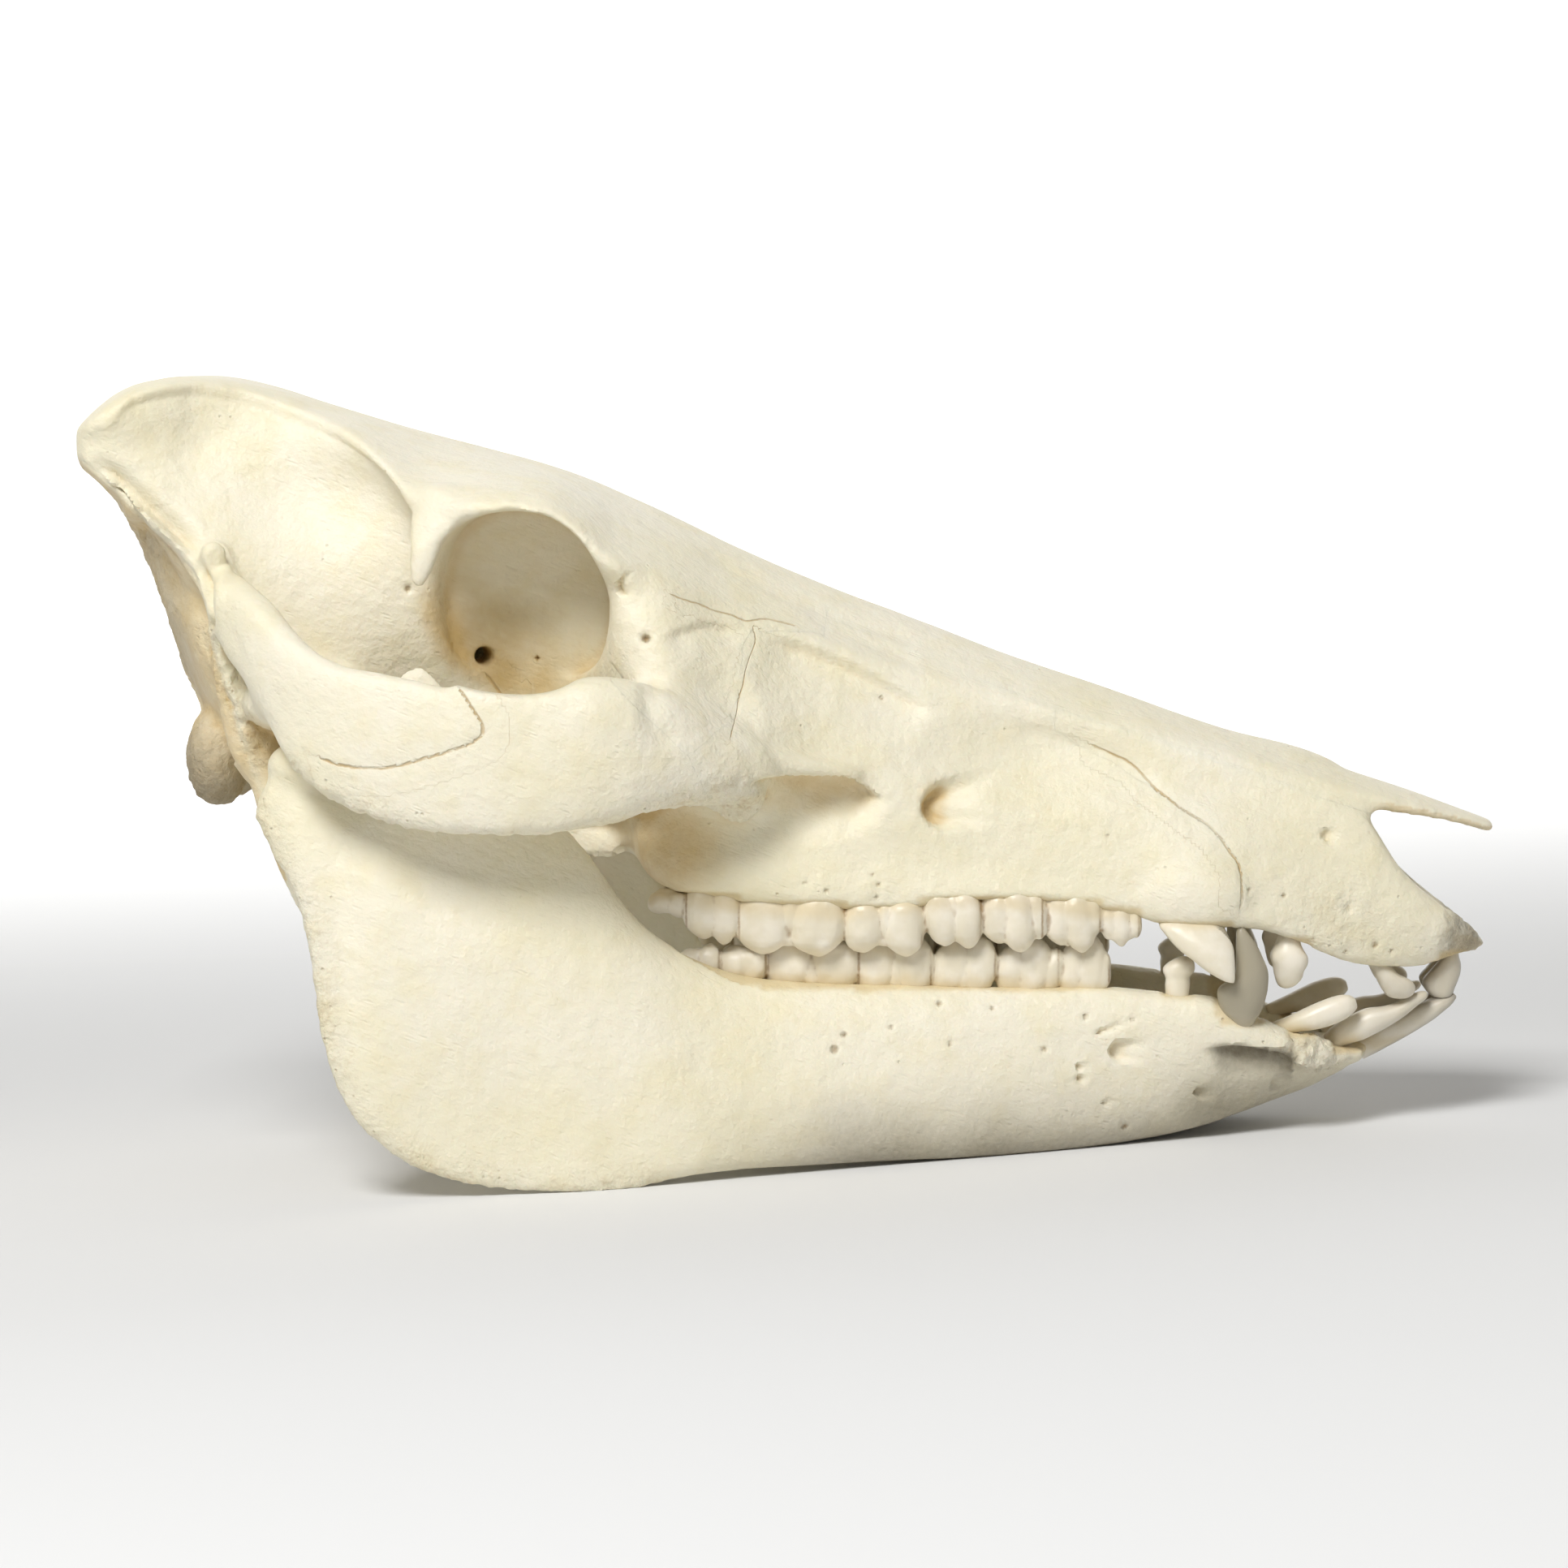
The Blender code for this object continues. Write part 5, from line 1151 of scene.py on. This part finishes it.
def jaw_painted_shade(carving):
    """Painted shade on the chin, along the low edge of the jaw and in the hollow under the chin's
    rim.
    """
    patches = noise(carving.places, 11.0, 15) * 2.5
    chin = ease((carving.x - 62 + patches) / 30) * ease((28 - carving.z + patches) / 19) * 0.75
    low = ease((23 - carving.z + patches) / 23) * ease((carving.x + 25) / 50) * 0.85
    away, side, fade = path_distance(carving.x, carving.z, CHIN_RIM)
    hollow = ease(away / 1.2) * np.exp(-(away / 8) ** 2) * (side < 0) * ease(fade * 1.6)
    return np.maximum(np.maximum(chin, low), hollow * (carving.x < 106) * 0.95)


class Fields:
    """Values measured on a carved mesh, handed to the finished pieces that are cut from it."""

    def __init__(self, carving, values):
        self.names = list(values)
        self.table = np.stack(list(values.values()), axis=1).astype(np.float32)
        self.tree = KDTree(len(carving.places))
        for index, place in enumerate(carving.places):
            self.tree.insert(place, index)
        self.tree.balance()

    def give(self, item):
        mesh = item.data
        nearest = [self.tree.find(vert.co)[1] for vert in mesh.vertices]
        for name, values in zip(self.names, self.table[nearest].T):
            if name in mesh.attributes:
                mesh.attributes.remove(mesh.attributes[name])
            attribute = mesh.attributes.new(name, "FLOAT", "POINT")
            attribute.data.foreach_set("value", np.ascontiguousarray(values))


def floor_height(x):
    """Height of the floor at each x, in the level frame of the drawing."""
    return np.tan(REST_PITCH) * x - REST_SHIFT[2] / np.cos(REST_PITCH) + 0.02


def tooth_column(centre, half, gum, height, lean, side, profile):
    """A rounded column of enamel that rises from the gum to its tip."""
    rings = []
    for level, size in profile:
        across, along = oval(half[1] * size, half[0] * size, COLUMN_POINTS, COLUMN_SQUARENESS)
        shift = (lean[0] * level, lean[1] * max(level, 0) ** 2)
        rings.append([(centre[0] + u + shift[0], side * (centre[1] + a + shift[1]),
                       gum + height * level) for a, u in zip(across, along)])
    return loft("column", rings)


def crown(tooth, side, seed):
    """One cheek tooth: a low crown and the cusps that stand on it."""
    kind, start, end, y, width, gum, tip = tooth
    length, height = end - start, tip - gum
    half = (length * CROWN_SHARE[0], width * CROWN_SHARE[1])
    pieces = [tooth_column(((start + end) / 2, y), half, gum, height, (0, 0), side,
                           CROWN_PROFILE)]
    slant = length * CUSP_SLANT if kind in SLANTED_KINDS else 0
    for index, (along, across, half_length, half_width, tall) in enumerate(CUSPS[kind]):
        sway = math.sin(seed * 2.3 + index * 1.9 + side) * CUSP_SWAY
        lean = (sway + slant, -across * width * CUSP_LEAN)
        pieces.append(tooth_column((start + along * length + sway, y + across * width),
                                   (half_length * length, half_width * width), gum,
                                   height * (tall + sway * 0.06), lean, side, CUSP_PROFILE))
    return pieces


def front_tooth(rows, side):
    """A front tooth between two edges that are given by matched points."""
    rings = []
    across, along = oval(1, 1, FRONT_POINTS, FRONT_SQUARENESS)
    for x_one, z_one, x_two, z_two, y, thick in curve_points(rows, 4, closed=False):
        middle = np.array(((x_one + x_two) / 2, y, (z_one + z_two) / 2))
        reach = np.array(((x_one - x_two) / 2, 0, (z_one - z_two) / 2))
        rings.append([(middle + u * reach + (0, a * thick, 0)) * (1, side, 1)
                      for a, u in zip(across, along)])
    return loft("front_tooth", rings)


def tooth_set(name, teeth, front_teeth, side, voxel):
    """One side's teeth of a jaw as one surface."""
    pieces = []
    for seed, tooth in enumerate(teeth):
        pieces += crown(tooth, side, seed)
    for rows in front_teeth:
        pieces.append(front_tooth(rows, side))
    item = gather(name, pieces)
    remesh(item, voxel)
    relax(item, 2)
    return item


def carve_teeth(item, teeth, front_gum):
    """Roughen the teeth a little and measure their hollows, necks and joints."""
    carving = Carving(item)
    cheek = ease((76 - carving.x) / 4)
    carving.apply(noise(carving.places, 2.6, 41) * (0.05 + 0.2 * cheek)
                  + noise(carving.places, 1.1, 42) * 0.06 * cheek)
    gum_line = [(tooth[1], tooth[5]) for tooth in teeth] + front_gum
    level = np.interp(carving.x, *np.array(gum_line).T)
    joint_gap = np.full(len(carving.places), FAR)
    for tooth in teeth:
        joint_gap = np.minimum(joint_gap, np.abs(carving.x - tooth[2]))
    # Painted shade: the front incisors darken, most of all the middle ones.
    grey = ease((carving.x - 117) / 8) * (0.35 + 0.65 * ease((7 - carving.out) / 2))
    canine = (carving.z < 51.5) * (carving.out < 26) * ease((carving.x - 88.5) / 1.5)
    canine *= ease((101.5 - carving.x) / 1.0) * (carving.z > 28)
    return carving, {"cavity": carving.hollowness(TOOTH_HOLLOW_ROUNDS),
                     "gum_gap": np.abs(carving.z - level),
                     "joint_gap": joint_gap, "grey": grey, "tusk": canine}


def finish_piece(item, name, nodes, material):
    """Set a finished mesh down in place, as a piece that rides on the model."""
    item.name = name
    item.data.name = name
    item.data.transform(REST)
    item.data.materials.clear()
    item.data.materials.append(material)
    item.data.shade_smooth()
    item.data.set_sharp_from_angle(angle=SHARP_ANGLE)
    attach(item, "root")
    if nodes:
        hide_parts(*nodes)


class Socket:
    """A shader value that takes part in Python sums and products."""

    def __init__(self, tree, link):
        self.tree, self.link = tree, link

    def maths(self, operation, *values):
        return add_node(self.tree, "ShaderNodeMath", {"operation": operation}, values)

    def __add__(self, other):
        return self.maths("ADD", self, other)

    def __radd__(self, other):
        return self.maths("ADD", other, self)

    def __sub__(self, other):
        return self.maths("SUBTRACT", self, other)

    def __rsub__(self, other):
        return self.maths("SUBTRACT", other, self)

    def __mul__(self, other):
        return self.maths("MULTIPLY", self, other)

    def __rmul__(self, other):
        return self.maths("MULTIPLY", other, self)

    def magnitude(self):
        return self.maths("ABSOLUTE", self)

    def clip(self, low, high):
        """Share of the way from low to high, kept from 0 to 1 and eased."""
        return add_node(self.tree, "ShaderNodeMapRange",
                        {"interpolation_type": "SMOOTHSTEP", "clamp": True},
                        {"Value": self, "From Min": low, "From Max": high})


def add_node(tree, kind, settings=None, values=(), output=0):
    """One node with its settings and the values or links of its sockets."""
    node = tree.nodes.new(kind)
    for key, value in (settings or {}).items():
        if key == "stops":
            ramp = node.color_ramp
            while len(ramp.elements) < len(value):
                ramp.elements.new(0.5)
            for element, (place, colour) in zip(ramp.elements, value):
                element.position, element.color = place, colour
        else:
            setattr(node, key, value)
    pairs = values.items() if isinstance(values, dict) else enumerate(values)
    for key, value in pairs:
        if isinstance(value, Socket):
            tree.links.new(value.link, node.inputs[key])
        elif value is not None:
            node.inputs[key].default_value = value
    return Socket(tree, node.outputs[output])


def mix_colours(tree, factor, first, second):
    node = tree.nodes.new("ShaderNodeMix")
    node.data_type = "RGBA"
    for socket, value in ((0, factor), (6, first), (7, second)):
        if isinstance(value, Socket):
            tree.links.new(value.link, node.inputs[socket])
        elif isinstance(value, (int, float)):
            node.inputs[socket].default_value = value
        else:
            node.inputs[socket].default_value = (*value, 1.0)
    return Socket(tree, node.outputs[2])


def texture(tree, kind, place, scale, settings=None, output=0, **values):
    """Noise or cells of a size in millimetres on Object coordinates."""
    inputs = {"Vector": place, "Scale": 1 / (scale * MM)}
    inputs.update(values)
    return add_node(tree, kind, settings, inputs, output)


def new_material(name):
    material = bpy.data.materials.new(name)
    material.use_nodes = True
    return material, material.node_tree, material.node_tree.nodes["Principled BSDF"]


def read_fields(tree, *names):
    """The values that the pieces carry, by name."""
    return {name: add_node(tree, "ShaderNodeAttribute", {"attribute_name": name}, output=2)
            for name in names}


def paint(tree, tint, layers, tones):
    """The tint with layers over it, (how much, tone), the first one lowest."""
    for factor, tone in layers:
        tint = mix_colours(tree, factor, tint, tones[tone])
    return tint


def finish_shader(tree, shader, tint, gloss, relief, bump, scatter):
    """Connect the colour, the roughness and the relief, and let light a little way in."""
    strength, distance = bump
    raised = add_node(tree, "ShaderNodeBump", None,
                      {"Strength": strength, "Distance": distance, "Height": relief})
    for name, value in (("Base Color", tint), ("Roughness", gloss), ("Normal", raised)):
        tree.links.new(value.link, shader.inputs[name])
    for name, value in zip(("Weight", "Radius", "Scale"), scatter):
        shader.inputs["Subsurface " + name].default_value = value


def bone_material(tones):
    """Dry ivory bone with pores, faint fibres and brown seams, tan recesses that are partly
    painted shade, bluish painted shade on the chin, low on the jaw and at the back of the skull,
    and holes darkened with painted shade.
    """
    material, tree, shader = new_material("skull_bone")
    place = add_node(tree, "ShaderNodeTexCoord", output=3)
    fields = read_fields(tree, "cavity", "warm", "rough", "hole_gap", "suture_gap", "tooth_gap",
                         "grime")
    broad = texture(tree, "ShaderNodeTexNoise", place, 45, Detail=3.0)
    blotch = texture(tree, "ShaderNodeTexNoise", place, 9, Detail=5.0, Roughness=0.6)
    grain = texture(tree, "ShaderNodeTexNoise", place, 1.2, Detail=5.0, Roughness=0.6)
    stretch = add_node(tree, "ShaderNodeMapping", {"vector_type": "TEXTURE"},
                       {"Vector": place, "Rotation": (0, 0.4, 0), "Scale": (9.0, 1.2, 1.4)})
    fibre = texture(tree, "ShaderNodeTexNoise", stretch, 1.0, Detail=4.0, Roughness=0.6)
    pore = texture(tree, "ShaderNodeTexVoronoi", place, 2.6)
    pore_size = texture(tree, "ShaderNodeTexNoise", place, 6)
    pits = texture(tree, "ShaderNodeTexVoronoi", stretch, 0.7)
    lumps = texture(tree, "ShaderNodeTexNoise", place, 4.0, Detail=3.0)
    pores = 1 - pore.clip(0.03, 0.16)
    pores = pores * (pore_size + fields["rough"] * 0.35).clip(0.58, 0.78)
    # Painted shade in hollows, from how far each place lies below its surroundings.
    hollow_shade = fields["cavity"].clip(0.04, 0.7)
    streak = (fibre * 0.7 + blotch * 0.3).clip(0.5, 0.75)
    # Tan colour and painted shade, broken up by blotches and fibres.
    tan_and_shade_amount = fields["warm"] * (0.8 + (blotch - 0.5) * 0.9 + (fibre - 0.5) * 0.3)
    speckle = fields["rough"] * (grain * 0.6 + blotch * 0.4).clip(0.46, 0.68)
    neck = 1 - (fields["tooth_gap"] + (blotch - 0.5) * 2.4 + (grain - 0.5)).clip(-0.2, 1.5)
    ragged = (blotch - 0.5) * 0.7 + (grain - 0.5) * 0.5
    seam = 1 - (fields["suture_gap"] + ragged * 0.8).magnitude().clip(0.02, 0.42)
    # Painted shade inside the holes.
    hole = 1 - (fields["hole_gap"] + (grain - 0.5) * 0.5).clip(-0.7, 0.25)
    clean = mix_colours(tree, broad.clip(0.35, 0.65), tones["bone"], tones["bone_pale"])
    # Layers: random tone, streaks, tan colour with painted shade in hollows, specks, painted shade
    # on the chin, the low jaw and the back of the skull, pores, neck stain, seams, and painted
    # shade in holes.
    tint = paint(tree, clean, (
        (blotch.clip(0.42, 0.75) * 0.4, "bone_yellow"), (streak * 0.14, "bone_grey"),
        ((tan_and_shade_amount + hollow_shade * 0.3).clip(0.0, 1.0), "recess"), (speckle * 0.38, "speck"),
        (fields["grime"] * (0.95 + (grain - 0.5) * 0.5), "dirt_and_shade_tone"), (pores * 0.3, "speck"),
        (neck * 0.6, "tooth_neck"), (seam * (blotch.clip(0.3, 0.6) * 0.6 + 0.2), "seam"),
        (hole * 0.8, "hole")), tones)
    gloss = 0.46 + (grain - 0.5) * 0.25 + fields["rough"] * 0.2 + fields["warm"] * 0.15
    dents = (1 - pits.clip(0.05, 0.4)) * pore_size.clip(0.5, 0.62)
    relief = (grain * 0.4 + fibre * 0.4 + blotch * 0.8 + lumps * 1.2 - dents * 0.2 - pores * 1.0
              + fields["rough"] * grain * 1.6 - seam * 0.45 - hole * 1.2)
    finish_shader(tree, shader, tint, gloss, relief, BONE_BUMP, BONE_SCATTER)
    shader.inputs["Specular IOR Level"].default_value = 0.35
    return material


def enamel_material(tones):
    """Cream enamel, whiter at the cusps and stained brown at the neck and between teeth, with
    painted shade on the front incisors.
    """
    material, tree, shader = new_material("tooth_enamel")
    place = add_node(tree, "ShaderNodeTexCoord", output=3)
    fields = read_fields(tree, "cavity", "gum_gap", "joint_gap", "grey", "tusk")
    cloud = texture(tree, "ShaderNodeTexNoise", place, 7, Detail=4.0)
    grain = texture(tree, "ShaderNodeTexNoise", place, 0.9, Detail=4.0)
    neck = 1 - (fields["gum_gap"] + (cloud - 0.5) * 3.5).clip(0.0, 3.2)
    groove = (fields["cavity"] + (cloud - 0.5) * 0.15).clip(0.03, 0.24)
    joint = 1 - (fields["joint_gap"] + (grain - 0.5) * 0.4).clip(0.02, 0.38)
    clean = mix_colours(tree, cloud.clip(0.38, 0.66), tones["enamel"], tones["enamel_pale"])
    tint = paint(tree, clean, (
        (neck * 0.4, "tooth_neck"), (fields["tusk"] * (1.0 - neck * 0.3), "tusk"),
        (fields["grey"] * 0.75, "grey"), (groove * 0.8, "stain"),
        (joint * cloud.clip(0.3, 0.6) * 0.75, "stain")), tones)
    finish_shader(tree, shader, tint, 0.28 + grain * 0.14, cloud + grain * 0.4, ENAMEL_BUMP,
                  ENAMEL_SCATTER)
    return material


def colours(settings):
    """Colours of the settings, with the tones made from them."""
    tones = {name: tuple(getattr(settings, name))
             for name in ("bone", "recess", "enamel", "stain")}
    for name, (base, factors) in TONES.items():
        tones[name] = tuple(np.minimum(np.array(tones[base]) * factors, 1.0))
    tones["tooth_neck"] = TOOTH_NECK
    return tones


def shared_material(name, maker, settings):
    return bpy.data.materials.get(name) or maker(colours(settings))


def dress(item, fields, name, nodes, material):
    """Thin a carved form, give it its fields and set it down as a piece."""
    thin_out(item, PIECE_TRIANGLES)
    fields.give(item)
    finish_piece(item, name, nodes, material)


class SKULL_OT_upper(bpy.types.Operator):
    """Build the bones of the upper skull"""

    bl_idname = "skull.upper"
    bl_label = "Upper skull"

    def execute(self, context):
        settings = context.scene.pig_skull
        skull = skull_form(settings.voxel)
        fields = Fields(*carve_skull(skull))
        material = shared_material("skull_bone", bone_material, settings)
        for node, item in part_skull(skull).items():
            nodes = [node, *CRANIUM_NODES] if node == "braincase" else [node]
            dress(item, fields, node + "_bone", nodes, material)
        return {"FINISHED"}


class SKULL_OT_jaw(bpy.types.Operator):
    """Build the lower jaw"""

    bl_idname = "skull.jaw"
    bl_label = "Lower jaw"

    def execute(self, context):
        settings = context.scene.pig_skull
        jaw = jaw_form(settings.voxel)
        fields = Fields(*carve_jaw(jaw))
        material = shared_material("skull_bone", bone_material, settings)
        dress(jaw, fields, "mandible_bone", ["mandible"], material)
        return {"FINISHED"}


class SKULL_OT_teeth(bpy.types.Operator):
    """Build the teeth of both jaws"""

    bl_idname = "skull.teeth"
    bl_label = "Teeth"

    def execute(self, context):
        settings = context.scene.pig_skull
        voxel = settings.tooth_voxel
        material = shared_material("tooth_enamel", enamel_material, settings)
        for side, word in SIDES:
            lower = tooth_set("lower", LOWER_CHEEK_TEETH, LOWER_FRONT_TEETH, side, voxel)
            upper = tooth_set("upper", UPPER_CHEEK_TEETH, UPPER_FRONT_TEETH, side, voxel)
            room = add_object("room", lower.data.copy())
            set_places(room.data,
                       vertex_places(room.data) + vertex_normals(room.data) * BITE_GAP)
            combine(upper, "DIFFERENCE", room)
            for item, name, teeth, front_gum in (
                    (upper, "upper_teeth_", UPPER_CHEEK_TEETH, UPPER_FRONT_GUM),
                    (lower, "lower_teeth_", LOWER_CHEEK_TEETH, LOWER_FRONT_GUM)):
                fields = Fields(*carve_teeth(item, teeth, front_gum))
                dress(item, fields, name + word, [], material)
        return {"FINISHED"}


class SKULL_OT_stage(bpy.types.Operator):
    """Build the floor, the lights and the camera"""

    bl_idname = "skull.stage"
    bl_label = "Studio"

    def execute(self, context):
        settings = context.scene.pig_skull
        build_floor(settings)
        build_lights(settings)
        build_camera()
        return {"FINISHED"}


def build_floor(settings):
    """A pale floor that curves up to a bright wall behind the skull."""
    work = bmesh.new()
    profile = [work.verts.new((-FLOOR_HALF_WIDTH, y, z)) for y, z in FLOOR_PROFILE]
    edges = [work.edges.new(pair) for pair in zip(profile, profile[1:])]
    made = bmesh.ops.extrude_edge_only(work, edges=edges)
    moved = [item for item in made["geom"] if isinstance(item, bmesh.types.BMVert)]
    bmesh.ops.translate(work, verts=moved, vec=(2 * FLOOR_HALF_WIDTH, 0, 0))
    bmesh.ops.recalc_face_normals(work, faces=work.faces)
    floor = new_object("studio_floor", work)
    floor.data.shade_smooth()
    material, tree, shader = new_material("studio_floor")
    place = add_node(tree, "ShaderNodeTexCoord", output=3)
    depth = add_node(tree, "ShaderNodeSeparateXYZ", None, (place,), output=1)
    glow = mix_colours(tree, depth.clip(*GLOW_SPAN), (0.0, 0.0, 0.0), tuple(settings.floor))
    tree.links.new(glow.link, shader.inputs["Emission Color"])
    shader.inputs["Emission Strength"].default_value = settings.wall_glow
    shader.inputs["Base Color"].default_value = (*settings.floor, 1)
    shader.inputs["Roughness"].default_value = 0.9
    shader.inputs["Specular IOR Level"].default_value = 0.1
    floor.data.materials.append(material)


def build_lights(settings):
    """A large soft key from the upper left, a low fill and an even white surround."""
    world = bpy.data.worlds.new("studio")
    bpy.context.scene.world = world
    world.use_nodes = True
    background = world.node_tree.nodes["Background"]
    background.inputs["Color"].default_value = SURROUND_COLOUR
    background.inputs["Strength"].default_value = settings.surround
    for name, place, size in LAMPS:
        lamp = bpy.data.lights.new(name, "AREA")
        lamp.energy = getattr(settings, name + "_power")
        lamp.size = size
        item = add_object(name, lamp)
        aim = Vector(LAMP_AIM) - Vector(place)
        turn = aim.to_track_quat("-Z", "Y").to_matrix().to_4x4()
        item.matrix_world = Matrix.Translation(place) @ turn


def build_camera():
    """The camera at the height and angle of the photograph."""
    camera = bpy.data.cameras.new("camera")
    camera.sensor_width = SENSOR_WIDTH
    camera.lens = SENSOR_WIDTH / 2 * VIEW_DISTANCE / VIEW_HALF_WIDTH
    camera.clip_start = 0.01
    item = add_object("camera", camera)
    back = Vector((math.sin(VIEW_AZIMUTH) * math.cos(VIEW_ELEVATION),
                   -math.cos(VIEW_AZIMUTH) * math.cos(VIEW_ELEVATION), math.sin(VIEW_ELEVATION)))
    turn = (-back).to_track_quat("-Z", "Y").to_matrix().to_4x4()
    place = Vector(VIEW_TARGET) + back * VIEW_DISTANCE
    item.matrix_world = REST @ Matrix.Translation(place) @ turn @ Matrix.Scale(1 / MM, 4)
    bpy.context.scene.camera = item


class SKULL_PT_panel(bpy.types.Panel):
    """The skull's tools in the sidebar"""

    bl_label = "Pig skull"
    bl_idname = "SKULL_PT_panel"
    bl_space_type = "VIEW_3D"
    bl_region_type = "UI"
    bl_category = "Skull"

    def draw(self, context):
        settings = context.scene.pig_skull
        for name in SkullSettings.__annotations__:
            self.layout.prop(settings, name)
        for operator in OPERATORS:
            self.layout.operator(operator.bl_idname)


OPERATORS = (SKULL_OT_stage, SKULL_OT_upper, SKULL_OT_jaw, SKULL_OT_teeth)
CLASSES = (SkullSettings, *OPERATORS, SKULL_PT_panel)


def register():
    for item in CLASSES:
        bpy.utils.register_class(item)
    bpy.types.Scene.pig_skull = bpy.props.PointerProperty(type=SkullSettings)


def unregister():
    del bpy.types.Scene.pig_skull
    for item in reversed(CLASSES):
        bpy.utils.unregister_class(item)


def main():
    register()
    bpy.context.scene.view_settings.view_transform = "Standard"
    bpy.ops.skull.stage()
    bpy.ops.skull.upper()
    bpy.ops.skull.jaw()
    bpy.ops.skull.teeth()


if __name__ == "__main__":
    main()
